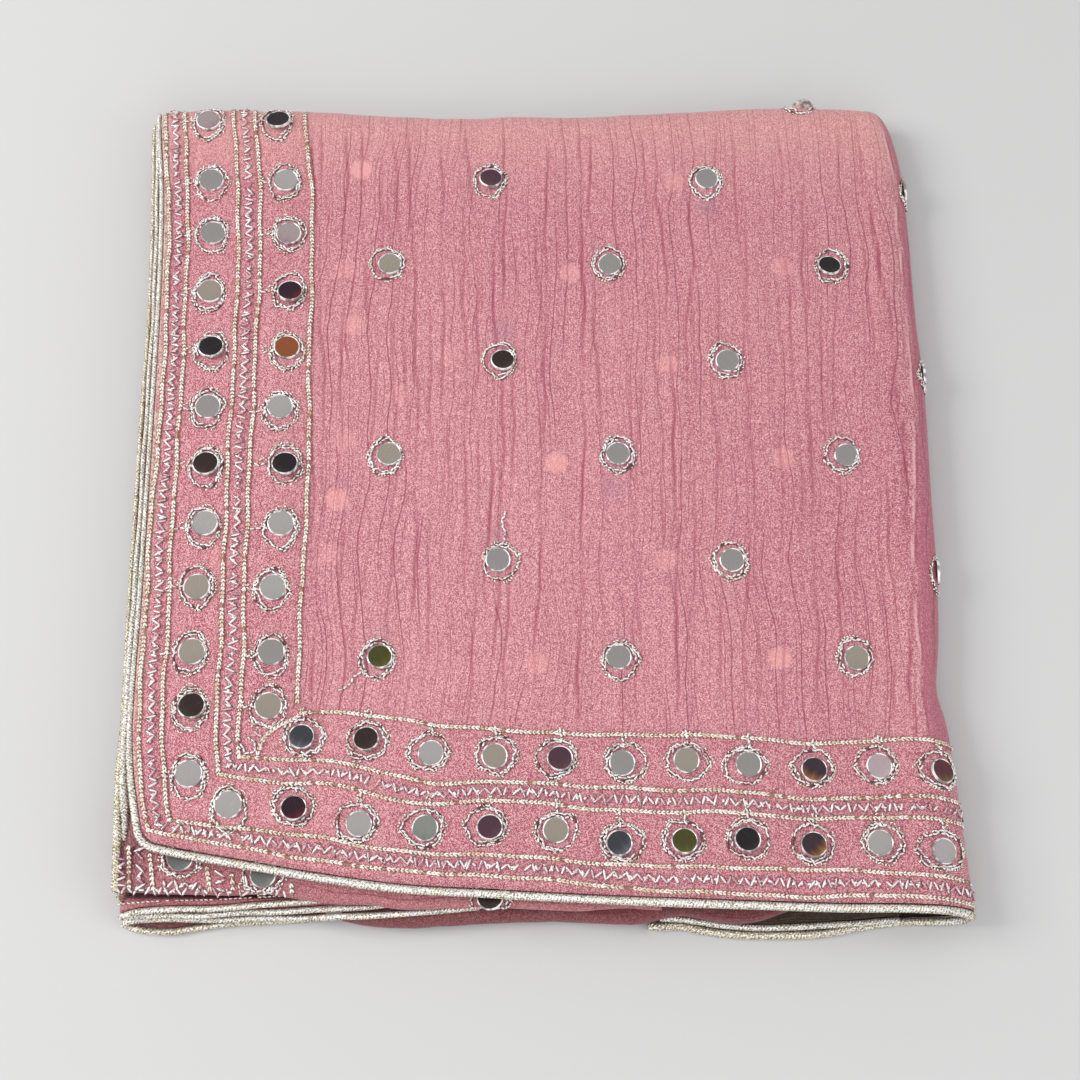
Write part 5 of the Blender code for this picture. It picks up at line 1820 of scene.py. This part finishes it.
def top_piping_path() -> Array:
    """The top ply's piping: down the left side, along the front and under.

    Returns:
        The middle of the piping.
    """
    corner_s = float(left_piping(CORNER_FRONT))
    corner_t = float(front_piping(corner_s))
    radius = CORNER_RADIUS + PIPE_RADIUS
    t = np.concatenate((np.linspace(NOSE_LAST, NOSE_START, 20),
                        np.linspace(NOSE_START, corner_t + radius, 90)[1:]))
    points = [on_outer_ply(left_piping(t), t, -SEAM_DEPTH)]
    start = np.array((float(left_piping(t[-1])), t[-1]))
    end = np.array((corner_s + radius, float(front_piping(corner_s + radius))))
    corner = np.array((corner_s, corner_t))
    for u in (0.2, 0.4, 0.6, 0.8):
        place = (1.0 - u)**2 * start + 2.0 * u * (1.0 - u) * corner + u**2 * end
        points.append(on_outer_ply(place[:1], place[1:], -SEAM_DEPTH))
    s = np.concatenate((np.linspace(corner_s + radius, BEND_START, 110),
                        np.linspace(BEND_START, BEND_END, 40)[1:],
                        np.linspace(BEND_END, UNDER_PIPING_END, 40)[1:]))
    sink = SEAM_DEPTH + (PIPE_RADIUS + 0.1 - SEAM_DEPTH) * ramp(s, BEND_START, BEND_END)
    points.append(on_outer_ply(s, front_edge(s), -sink))
    return np.concatenate(points)


def top_pipe_share(t: Array | float) -> Array:
    """How thick the top ply's piping looks down the left side, where it lies half sunk."""
    return 0.62 + 0.36 * ramp(-np.asarray(t, float), 92.0, 122.0)


def side_path(edge: Callable[[Array], Array], height: float, front_y: float) -> Array:
    """A piped edge down the left side.

    Args:
        edge: x of the edge for each y.
        height: Its height over the table.
        front_y: Where it goes out of sight at the front.

    Returns:
        The middle of the piping.
    """
    y = np.linspace(SIDE_BACK, front_y, 120)
    sway = 0.18 * np.sin(y / 6.0 + height) * ramp(150.0 - y, 0.0, 20.0)
    return np.stack((edge(y) + sway, y, np.full_like(y, height)), axis=-1)


def second_piping_path() -> Array:
    """The second ply's piping: down the left side, up on its leaf and over its nose.

    Returns:
        The middle of the piping.
    """
    nose_y, middle, half = SECOND_PLY[0][1:]
    y = np.linspace(SIDE_BACK, -142.0, 130)
    climb = middle + half - 0.3 - SECOND_HEIGHT
    z = SECOND_HEIGHT + climb * ramp(-y, 84.0, 130.0)
    side = np.stack((second_ply_edge(y), y, z), axis=-1)
    turn = np.radians(np.linspace(60.0, -60.0, 9))
    nose = np.stack((np.full(9, float(second_ply_edge(-150.0))),
                     nose_y + half - (half - 0.4) * np.cos(turn),
                     middle + (half - 0.4) * np.sin(turn)), axis=-1)
    return np.concatenate((side, nose, np.array(SECOND_PIPING_TAIL)))


# ---- Embroidery


def second_ply_face(x: Array, y: Array, lift: float) -> Array:
    """Points over the upper leaf of the second ply, round its nose too.

    Args:
        x: Place across.
        y: Place from front to back.
        lift: Height over the cloth.

    Returns:
        The points in millimetres.
    """
    nose, middle, half = (TableCurve(SECOND_PLY, value)(x) for value in (1, 2, 3))
    centre = nose + half
    back = front_piping(x) + LEAF_BACK
    leaf = middle + half + 1.2 * np.clip((y - centre) / (back - centre), 0.0, 1.0)
    into = np.clip((centre - y) / half, 0.0, 0.95)
    nose_z = middle + half * np.sqrt(1.0 - into**2)
    z = np.where(y < centre, nose_z, leaf) + lift
    return np.stack((x, np.maximum(y, nose), z), axis=-1)


@dataclass
class MirrorWork:
    """The round mirrors and the rings of silver thread that hold them."""

    radius: float = 4.98
    rim: float = 0.42
    lift: float = 0.75
    sides: int = 28
    seed: int = 41
    # Size of a mirror that isn't in the side border, beside one that is
    small: float = 0.93
    # How far a ring reaches across and to the back, by where its mirror is
    side_reach: Pair = (6.1, 7.7)
    front_reach: Pair = (7.2, 6.5)
    front_end_reach: Pair = (6.2, 6.5)
    field_reach: Pair = (6.2, 6.9)
    second_reach: Pair = (6.8, 5.8)
    core_radius: float = 0.58
    tie_lift: float = 0.3
    rings_row: SewnRow = SewnRow(RING_BAR, spacing=1.62, lean=15.0, looseness=20.0, smallest=0.6,
                                 missing=0.07, seed=12)
    fringe_row: SewnRow = SewnRow(THREAD_BIT, spacing=1.15, lean=38.0, looseness=40.0,
                                  smallest=0.6, missing=0.36, seed=17)
    # Middle, up, along, size and tone of every mirror that is set
    mirrors: list[tuple[Array, Array, Array, float, Tone]] = field(default_factory=list)
    rings: list[Path] = field(default_factory=list)
    fringes: list[Path] = field(default_factory=list)
    ties: list[Path] = field(default_factory=list)

    def mirror_shape(self) -> Piece:
        """One mirror: a flat face, a rounded silver rim and an edge down to the cloth.

        Returns:
            A mesh object with the attribute disc.
        """
        face, edge = self.radius - self.rim, self.radius + 0.1
        # Rings from the face outwards and down: radius, height and whether it is silver
        levels = ((face - 0.06, 0.0, 0.0), (face, 0.04, 1.0),
                  (self.radius - 0.5 * self.rim, 0.16, 1.0), (self.radius, 0.02, 1.0),
                  (edge, -0.35, 1.0), (edge, -0.9, 1.0))
        points = [(0.0, 0.0, 0.0)]
        disc = [(0.0, 0.5, 0.0)]
        for radius, height, rim in levels:
            for k in range(self.sides):
                angle = 2.0 * math.pi * k / self.sides
                x, y = math.cos(angle), math.sin(angle)
                points.append((radius * x * MM, radius * y * MM, height * MM))
                disc.append((x, 0.5 + 0.5 * y, rim))
        faces = [(0, 1 + k, 1 + (k + 1) % self.sides) for k in range(self.sides)]
        piece = mesh_object("one mirror", points, faces + tube_faces(len(levels), self.sides, 1))
        piece.data.set_sharp_from_angle(angle=math.radians(30.0))
        store(piece, "disc", disc)
        return piece

    def add(self, middle: Array, up: Array, tone: Tone, size: float,
            chance: np.random.Generator) -> None:
        """Set one mirror.

        Args:
            middle: Its middle in millimetres.
            up: The way that the cloth faces.
            tone: What it gives back, as a painted reflection.
            size: How large it is beside the largest.
            chance: The source of small differences.
        """
        lean = math.radians(1.3 * tone.value[2] + chance.uniform(-1.5, 1.5))
        side = math.radians(chance.uniform(-2.5, 2.5))
        tipped = up + np.array((math.sin(side), math.sin(lean), 0.0))
        angle = chance.uniform(-0.9, 0.9)
        self.mirrors.append((middle + up * (self.lift + 3.2 * abs(math.sin(lean))),
                             tipped / np.linalg.norm(tipped),
                             np.array((math.sin(angle), math.cos(angle), 0.0)), size, tone))

    def ring(self, middle: Pair, reach: Pair, place: Callable[[Array, Array, float], Path],
             chance: np.random.Generator) -> None:
        """Lay the uneven rings of thread round one mirror.

        Args:
            middle: The ring's middle in the cloth.
            reach: How far the ring reaches across and to the back.
            place: Puts cloth points and a lift on the ply.
            chance: The source of its unevenness.
        """
        whole = 2.0 * math.pi
        start = chance.uniform(0.0, 6.3)
        arc = chance.uniform(2.4, 5.0)
        for size, lift, span in ((1.0, 0.30, whole), (0.88, 0.46, arc), (1.09, 0.15, whole)):
            angles = start + np.linspace(0.0, span, 40, endpoint=span < whole)
            uneven = np.zeros_like(angles)
            for wave in (2, 3, 5, 8):
                height = chance.uniform(-0.05, 0.05)
                uneven += height * np.cos(wave * angles + chance.uniform(0.0, 6.3))
            gap = np.abs((angles - start + math.pi) % whole - math.pi)
            uneven += 0.12 * size * np.exp(-(gap / 0.25)**2)
            x = reach[0] * size * (1.0 + uneven) * np.cos(angles)
            y = reach[1] * size * (1.0 + uneven) * np.sin(angles)
            path = place(middle[0] + x, middle[1] + y, lift)
            path.closed = span == whole
            (self.fringes if size > 1.0 else self.rings).append(path)

    def tie(self, start: Pair, end: Pair) -> None:
        """Lay the short thread that ties a ring to the chain line beside it, and its curl.

        Args:
            start: Cloth point at the ring.
            end: Cloth point at the line.
        """
        share = np.linspace(0.0, 1.0, 6)
        self.ties.append(cloth_path(blend(start[0], end[0], share),
                                    blend(start[1], end[1], share), self.tie_lift))
        angle = np.linspace(0.4, 6.0, 8)
        curl_s = 0.5 * (start[0] + end[0]) + 1.2 * np.cos(angle)
        curl_t = 0.5 * (start[1] + end[1]) + 1.2 + 1.2 * np.sin(angle)
        self.fringes.append(cloth_path(curl_s, curl_t, self.tie_lift))

    def border_places(self, chance: np.random.Generator) -> list[tuple[float, float, Tone, Pair, Pair]]:
        """Where the border's mirrors go. Their ties are laid too.

        Args:
            chance: The source of small differences.

        Returns:
            s, t, tone, reach of the ring and shift of the ring for each mirror.
        """
        places = []
        for y, outer_x, outer, inner_x, inner in SIDE_MIRRORS:
            for x, tone in ((outer_x, outer), (inner_x, inner)):
                shift = (chance.uniform(-0.9, 0.2), chance.uniform(-2.2, 0.3))
                row_y = CORNER_MIRROR_Y if (y < -100.0 and x > -110.0) else y
                places.append((x, row_y, tone, self.side_reach, shift))
                if row_y == y:
                    self.tie((x - 5.8, y + shift[1]), (x - 10.6, y + shift[1] - 0.5))
        for x, inner_y, inner, outer_y, outer in FRONT_MIRRORS:
            last = x > 140.0
            for y, row_x, tone in ((inner_y, x - 0.8 * last, inner),
                                   (outer_y, x - 1.5 - 1.2 * last, outer)):
                shift = (chance.uniform(-1.4, 1.2), chance.uniform(-0.7, 0.7))
                reach = self.front_reach
                if last:
                    reach, shift = self.front_end_reach, (0.2, 0.3)
                places.append((row_x, y, tone, reach, shift))
                self.tie((row_x + 0.5, y + 6.4), (row_x + 0.1, y + 10.2))
        return places

    def gather(self) -> None:
        """Set every mirror of the borders, of the field and of the second ply."""
        chance = np.random.default_rng(self.seed)

        def on_top(s: Array, t: Array, lift: float) -> Path:
            """A ring on the outer ply."""
            return cloth_path(s, t, lift, closed=True)

        def on_second(x: Array, y: Array, lift: float) -> Path:
            """A ring on the second ply."""
            return flat_path(second_ply_face(x, y, lift), closed=True)

        places = self.border_places(chance)
        for s, t, tone in FIELD_MIRRORS:
            shift = (chance.uniform(-1.9, 1.2), chance.uniform(-1.8, 0.7))
            places.append((s, t, tone, self.field_reach, shift))
        for s, t, tone, reach, shift in places:
            cloth = (np.array([s]), np.array([t]))
            size = 1.0 if reach == self.side_reach else self.small
            self.add(on_outer_ply(*cloth)[0], facing(*cloth)[0], tone, size, chance)
            self.ring((s + shift[0], t + shift[1]), reach, on_top, chance)
        for x, y, tone in SECOND_MIRRORS:
            middle = second_ply_face(np.array([x]), np.array([y]), 0.0)[0]
            self.add(middle, np.array(UP), tone, self.small, chance)
            self.ring((x, y - 0.6), self.second_reach, on_second, chance)
        for rows in LOOSE_ENDS:
            s, t, _ = smooth_path([(*row, 0.0) for row in rows], 0.8).T
            self.ties.append(cloth_path(s, t, self.tie_lift))

    def build(self, room: "Workroom") -> list[Piece]:
        """Make the mirrors and their rings.

        Args:
            room: The shared finishes and trees.

        Returns:
            The mirrors, the cords, the rings and the small loops.
        """
        self.gather()
        middles, ups, alongs, sizes, tones = zip(*self.mirrors)
        base = mesh_object("mirror places", from_table(middles), (), smooth=False)
        for name, values in (("up", ups), ("along", alongs), ("size", sizes),
                             ("tone_a", [tone.value[0] for tone in tones]),
                             ("tone_b", [tone.value[1] for tone in tones])):
            store(base, name, values)
        mirrors = run_tree(room.setting, base, "mirrors", {"Mirror": self.mirror_shape(),
                                                           "Glass": room.glass})
        rings = self.rings_row.sew("mirror_rings", self.rings + self.ties, room.sewing,
                                   room.silver)
        fringe = self.fringe_row.sew("ring_fringe", self.fringes, room.sewing, room.gold)
        whole = [path for path in self.rings if path.closed]
        core = laid_cord("ring_core", whole, self.core_radius, room.rope, room.core)
        return [mirrors, core, rings, fringe]


@dataclass
class BorderWork:
    """The gold chain lines and the silver zigzags between them."""

    chain: SewnRow = SewnRow(CHAIN_STITCH, spacing=1.55, lean=6.0, looseness=24.0, smallest=0.5,
                             missing=0.06, seed=5)
    zigzag: SewnRow = SewnRow(ZIGZAG_BAR, spacing=2.05, lean=58.0, looseness=20.0, smallest=0.6,
                              missing=0.06, seed=8)
    flecks: SewnRow = SewnRow(FLECK, spacing=2.7, lean=38.0, looseness=55.0, smallest=0.5,
                              missing=0.40, seed=23)
    band: SewnRow = SewnRow(THREAD_BIT, spacing=1.7, lean=6.0, looseness=14.0, smallest=0.8,
                            missing=0.1, seed=31)
    core_radius: float = 0.62
    chain_lift: float = 0.25
    zigzag_lift: float = 0.45
    second_zigzag_lift: float = 0.35
    over_back: float = 164.0
    over_right: float = 162.0

    def line(self, columns: tuple[int, int], lift: float, corner: bool = True) -> list[Path]:
        """A line down the left side and along the front, midway between two lines of the tables.

        Args:
            columns: The two lines' columns.
            lift: Height over the cloth.
            corner: Whether the front stretch starts at the corner, and not at the curl.

        Returns:
            The side's path and the front's path.
        """
        side_at = [TableCurve(SIDE_LINES, column) for column in columns]
        front_at = [TableCurve(FRONT_LINES, column) for column in columns]

        def side_off(t: Array) -> Array:
            """Distance in from the left piping."""
            return 0.5 * (side_at[0](t) + side_at[1](t))

        def front_off(s: Array) -> Array:
            """Distance in from the front piping."""
            x = np.minimum(s, LAST_LINE_X)
            return 0.5 * (front_at[0](x) + front_at[1](x))

        meet_t = CORNER_FRONT
        for _ in range(6):
            meet_s = float(left_piping(meet_t) + side_off(np.array(meet_t)))
            meet_t = float(front_edge(np.array(meet_s)) + front_off(np.array(meet_s)))
        t = np.linspace(self.over_back, meet_t + (0.0 if corner else 4.5), 150)
        wander = 0.28 * np.sin(t / 8.0 + columns[0]) + 0.2 * np.sin(t / 3.7)
        paths = [cloth_path(left_piping(t) + side_off(t) + wander, t, lift)]
        s = np.linspace(meet_s, self.over_right, 150)
        if not corner:
            s = s[s > CURL[-1][0] + 1.0]
        wander = 0.25 * np.sin(s / 9.0 + columns[0]) + 0.2 * np.sin(s / 4.1)
        t = front_edge(s) + front_off(s) + wander * ramp(s, meet_s, meet_s + 12.0)
        if not corner:
            s, t = np.concatenate((np.array(CURL), np.stack((s, t), axis=-1))).T
        return paths + [cloth_path(s, t, lift)]

    def build(self, room: "Workroom") -> list[Piece]:
        """Sew the chain lines, the zigzags and the fine dashes of the return fold.

        Args:
            room: The shared finishes and trees.

        Returns:
            The cord under the chains, the chains, the zigzags, the flecks and the dashes.
        """

        def on_second(rows: Rows, lift: float) -> list[Path]:
            """Straight lines on the second ply."""
            return [flat_path(second_ply_face(np.linspace(x0, x1, 8), np.linspace(y0, y1, 8),
                                              lift)) for x0, y0, x1, y1 in rows]

        chains: list[Path] = []
        for line in range(1, 6):
            chains += self.line((line, line), self.chain_lift, corner=line < 5)
        chains += on_second(SECOND_CHAINS, self.chain_lift)
        zigzags = self.line((1, 2), self.zigzag_lift) + self.line((3, 4), self.zigzag_lift)
        zigzags += on_second(SECOND_ZIGZAGS, self.second_zigzag_lift)
        dashes = [flat_path(smooth_path(BAND_STITCHES, 1.5))]
        return [laid_cord("chain_core", chains, self.core_radius, room.rope, room.gold_core),
                self.chain.sew("chain_stitch", chains, room.sewing, room.gold),
                self.zigzag.sew("zigzag_stitch", zigzags, room.sewing, room.pink_silver),
                self.flecks.sew("zigzag_flecks", zigzags, room.sewing, room.silver),
                self.band.sew("band_stitch", dashes, room.sewing, room.gold)]


# ---- The studio


@dataclass(frozen=True)
class Studio:
    """A pale floor, soft lights and the camera."""

    camera_place: Point = (0.0035, -0.20632, 0.58312)
    look_at: Point = (0.0035, -0.024, 0.022)
    lens: float = 53.13
    sensor: float = 36.0
    floor_half: float = 3.0
    floor_tone: float = 0.62
    floor_roughness: float = 0.9
    world_tone: float = 0.62

    def floor(self) -> None:
        """A wide plain floor."""
        half = self.floor_half
        corners = ((-half, -half, 0.0), (half, -half, 0.0), (half, half, 0.0), (-half, half, 0.0))
        piece = mesh_object("floor", corners, [(0, 1, 2, 3)], smooth=False)
        made, board, shader = new_finish("pale floor")
        board.put(shader["Base Color"], (self.floor_tone,) * 3)
        board.put(shader["Roughness"], self.floor_roughness)
        piece.data.materials.append(made)

    def aim(self, piece: Piece, place: Point, axis: str, way: Vector) -> None:
        """Hang a lamp or the camera in its place and turn it.

        Args:
            piece: The lamp or the camera.
            place: Where it hangs, in metres.
            axis: Its own axis that is turned.
            way: The way that this axis then points.
        """
        piece.location = place
        piece.rotation_mode = "QUATERNION"
        piece.rotation_quaternion = way.to_track_quat(axis, "Y")

    def light(self, name: str, place: Point, size: float, power: float, tone: Colour) -> None:
        """A square soft light that shines at the packet.

        Args:
            name: Its name.
            place: Where it hangs, in metres.
            size: Its side.
            power: Its power in watts.
            tone: Its colour.
        """
        lamp = bpy.data.lights.new(name, "AREA")
        lamp.size = size
        lamp.energy = power
        lamp.color = tone
        self.aim(new_object(name, lamp), place, "Z", Vector(place))

    def build(self) -> None:
        """Set up the floor, the lights, the world and the camera."""
        self.floor()
        self.light("key", (-1.25, 0.15, 0.95), 0.8, 16.0, (1.0, 0.985, 0.97))
        self.light("fill", (1.25, -0.55, 0.85), 1.0, 5.0, (0.97, 0.985, 1.0))
        self.light("front", (0.1, -1.3, 0.8), 0.9, 4.0, (1.0, 1.0, 1.0))
        bpy.context.scene.view_settings.view_transform = "Standard"
        world = bpy.data.worlds.new("studio")
        world.use_nodes = True
        sky = world.node_tree.nodes["Background"]
        sky.inputs[0].default_value = (*(self.world_tone,) * 3, 1.0)
        sky.inputs[1].default_value = 1.0
        bpy.context.scene.world = world
        eye = bpy.data.cameras.new("camera")
        eye.lens = self.lens
        eye.sensor_width = self.sensor
        eye.clip_start = 0.01
        holder = new_object("camera", eye)
        self.aim(holder, self.camera_place, "-Z", Vector(self.look_at) - Vector(self.camera_place))
        bpy.context.scene.camera = holder


# ---- The whole packet

# Finishes of tissue: cloth, crease, glint and warm tone
ROSE = TissueFinish("rose tissue", (0.495, 0.145, 0.20), (0.36, 0.062, 0.11),
                    (0.89, 0.51, 0.53), (0.60, 0.235, 0.225), border=(0.40, 0.08, 0.125))
# The folds: the rose tissue darkened with painted shade, for they lie under the top ply; the low front
# fold and the lower return deepest
SHADED_FOLD_ROSE = TissueFinish("rose tissue of the folds", (0.36, 0.072, 0.112), (0.23, 0.036, 0.06),
                         (0.72, 0.36, 0.37), (0.42, 0.14, 0.125), crinkle=0.7)
DEEP_SHADED_ROSE = TissueFinish("deep rose tissue", (0.17, 0.026, 0.04), (0.10, 0.014, 0.022),
                         (0.35, 0.12, 0.12), (0.21, 0.055, 0.045), crinkle=0.7)
# The reverse: gold-brown, as the tissue's wrong side is, and darkened further with painted shade, for
# it is seen only inside the openings
REVERSE = TissueFinish("gold reverse of the tissue", (0.045, 0.024, 0.014),
                       (0.026, 0.013, 0.008), (0.11, 0.07, 0.04), (0.075, 0.044, 0.022),
                       crinkle=0.8, metallic=0.3)
# The inner plies: a rose darkened with painted shade, for they are seen only inside the openings
INNER = TissueFinish("inner plies", (0.33, 0.085, 0.10), (0.16, 0.03, 0.045),
                     (0.70, 0.40, 0.33), (0.34, 0.15, 0.09), crinkle=0.9)
# Finishes of piping: bright, flank and groove. Finishes of thread: bright, groove and tint
PIPING = RopeFinish("silver piping", (0.93, 0.91, 0.86), (0.68, 0.59, 0.39), (0.13, 0.095, 0.05))
GILT = RopeFinish("gilt piping", (0.86, 0.76, 0.54), (0.54, 0.43, 0.23), (0.11, 0.08, 0.04))
CORE = ThreadFinish("dark core", (0.30, 0.13, 0.12), (0.10, 0.035, 0.04), (0.16, 0.06, 0.06),
                    roughness=0.5, metallic=0.2)
GOLD_CORE = ThreadFinish("gold core", (0.74, 0.58, 0.42), (0.30, 0.16, 0.11),
                         (0.50, 0.34, 0.23), roughness=0.5, metallic=0.3)
GOLD = ThreadFinish("gold chain thread", (1.0, 0.97, 0.90), (0.24, 0.12, 0.07),
                    (0.74, 0.60, 0.44), roughness=0.32, metallic=0.3)
SILVER = ThreadFinish("silver ring thread", (0.98, 0.96, 0.95), (0.20, 0.09, 0.09),
                      (0.58, 0.42, 0.38), roughness=0.26, metallic=0.4)
PINK_SILVER = ThreadFinish("pink silver thread", (1.0, 0.95, 0.95), (0.20, 0.055, 0.085),
                           (0.58, 0.33, 0.37), roughness=0.26, metallic=0.35)


class Workroom:
    """The finishes and the trees that the pieces share."""

    def __init__(self) -> None:
        """Mix the finishes and set up the trees."""
        effect = tissue_effect()
        self.rose, self.fold_rose, self.deep_rose, self.reverse, self.inner = (
            finish.material(effect) for finish in (ROSE, SHADED_FOLD_ROSE, DEEP_SHADED_ROSE, REVERSE, INNER))
        self.piping, self.gilt, self.core, self.gold_core, self.gold, self.silver = (
            finish.material() for finish in (PIPING, GILT, CORE, GOLD_CORE, GOLD, SILVER))
        self.pink_silver = PINK_SILVER.material()
        self.glass = MirrorFinish().material()
        self.sewing, self.rope, self.setting = stitch_tree(), rope_tree(), mirror_tree()


class FoldedDupatta:
    """The whole packet, piece by piece in the order that it is laid."""

    def __init__(self) -> None:
        """Get the finishes and the trees ready."""
        self.room = Workroom()

    def lay_plies(self) -> list[Piece]:
        """The plies, from the outer one to the hidden ones.

        Returns:
            The outer ply first, then the rest.
        """
        room = self.room
        return [
            OuterPly().build(room.rose, room.reverse),
            FrontFold("second_fold", SECOND_PLY, 1.2, "rose_tissue", "second_ply",
                      shift=0.7, reach_left=0.7, tail=26.0).build(room.fold_rose),
            FrontFold("low_front_fold", FRONT_FOLD, 0.0, "deep_rose_tissue", "front_fold",
                      shift=1.9).build(room.deep_rose),
            ReturnFold("upper_return", UPPER_LOOP, "rose_tissue", "upper_loop",
                       shift=0.4, groove=1.6).build(room.fold_rose),
            ReturnFold("lower_return", LOWER_LOOP, "deep_rose_tissue", "lower_loop",
                       shift=2.6).build(room.deep_rose),
            ReturnFold("inside_return", INNER_RETURN, "shaded_plies", "inner_return",
                       shift=4.1).build(room.reverse),
            InnerPlies().build(room.inner),
        ]

    def lay_piping(self) -> list[Piece]:
        """The eight stretches of piping.

        Returns:
            The piping, the top ply's first.
        """
        lowest = np.vectorize(lambda y: LOWEST_PLY_X)
        stretches = (
            (Piping("top_edge_piping", "top_ply_piping", PIPE_RADIUS,
                    swell=((0.0, 0.62), (0.32, 0.62), (0.355, 0.97), (1.0, 1.0))),
             top_piping_path()),
            (Piping("second_edge_piping", "second_ply_piping",
                    swell=((0.0, 0.4), (0.01, 0.78), (0.68, 0.78), (0.84, 1.25), (0.95, 1.15),
                           (1.0, 0.5))),
             second_piping_path()),
            (Piping("third_edge_piping", "third_ply_piping",
                    swell=((0.0, 0.4), (0.01, 0.8), (0.62, 0.9), (0.86, 1.55), (0.96, 1.5),
                           (1.0, 0.8))),
             side_path(third_ply, height=15.8, front_y=-133.5)),
            (Piping("fourth_edge_piping", "fourth_ply_piping"),
             side_path(fourth_ply, height=6.2, front_y=-118.0)),
            (Piping("lowest_edge_piping", "lowest_ply_piping"),
             side_path(lowest, height=1.45, front_y=-118.0)),
            (Piping("upper_return_piping", "upper_loop_piping", LOOP_PIPE_RADIUS,
                    swell=((0.0, 0.4), (0.05, 1.0), (0.93, 1.0), (1.0, 0.45))),
             smooth_path((*UPPER_LOOP, *UPPER_LOOP_TAIL), 2.0)),
            (Piping("lower_return_piping", "lower_loop_piping", LOOP_PIPE_RADIUS),
             smooth_path((*LOWER_LOOP_HEAD, *LOWER_LOOP), 2.0)),
            (Piping("inside_return_piping", "inner_return_piping", LOOP_PIPE_RADIUS),
             smooth_path(INNER_RETURN, 2.0)),
        )
        gilded = ("second_edge_piping", "lowest_edge_piping")
        silver, gilt = self.room.piping, self.room.gilt
        return [piping.build(path, self.room.rope, gilt if piping.name in gilded else silver)
                for piping, path in stretches]

    def build(self) -> None:
        """Make every piece."""
        plies = self.lay_plies()
        pipings = self.lay_piping()
        mirrors = MirrorWork().build(self.room)
        border = BorderWork().build(self.room)


def main() -> None:
    """Build the packet and the studio."""
    logging.basicConfig(level=logging.INFO, format="%(name)s: %(message)s")
    FoldedDupatta().build()
    Studio().build()


if __name__ == "__main__":
    main()
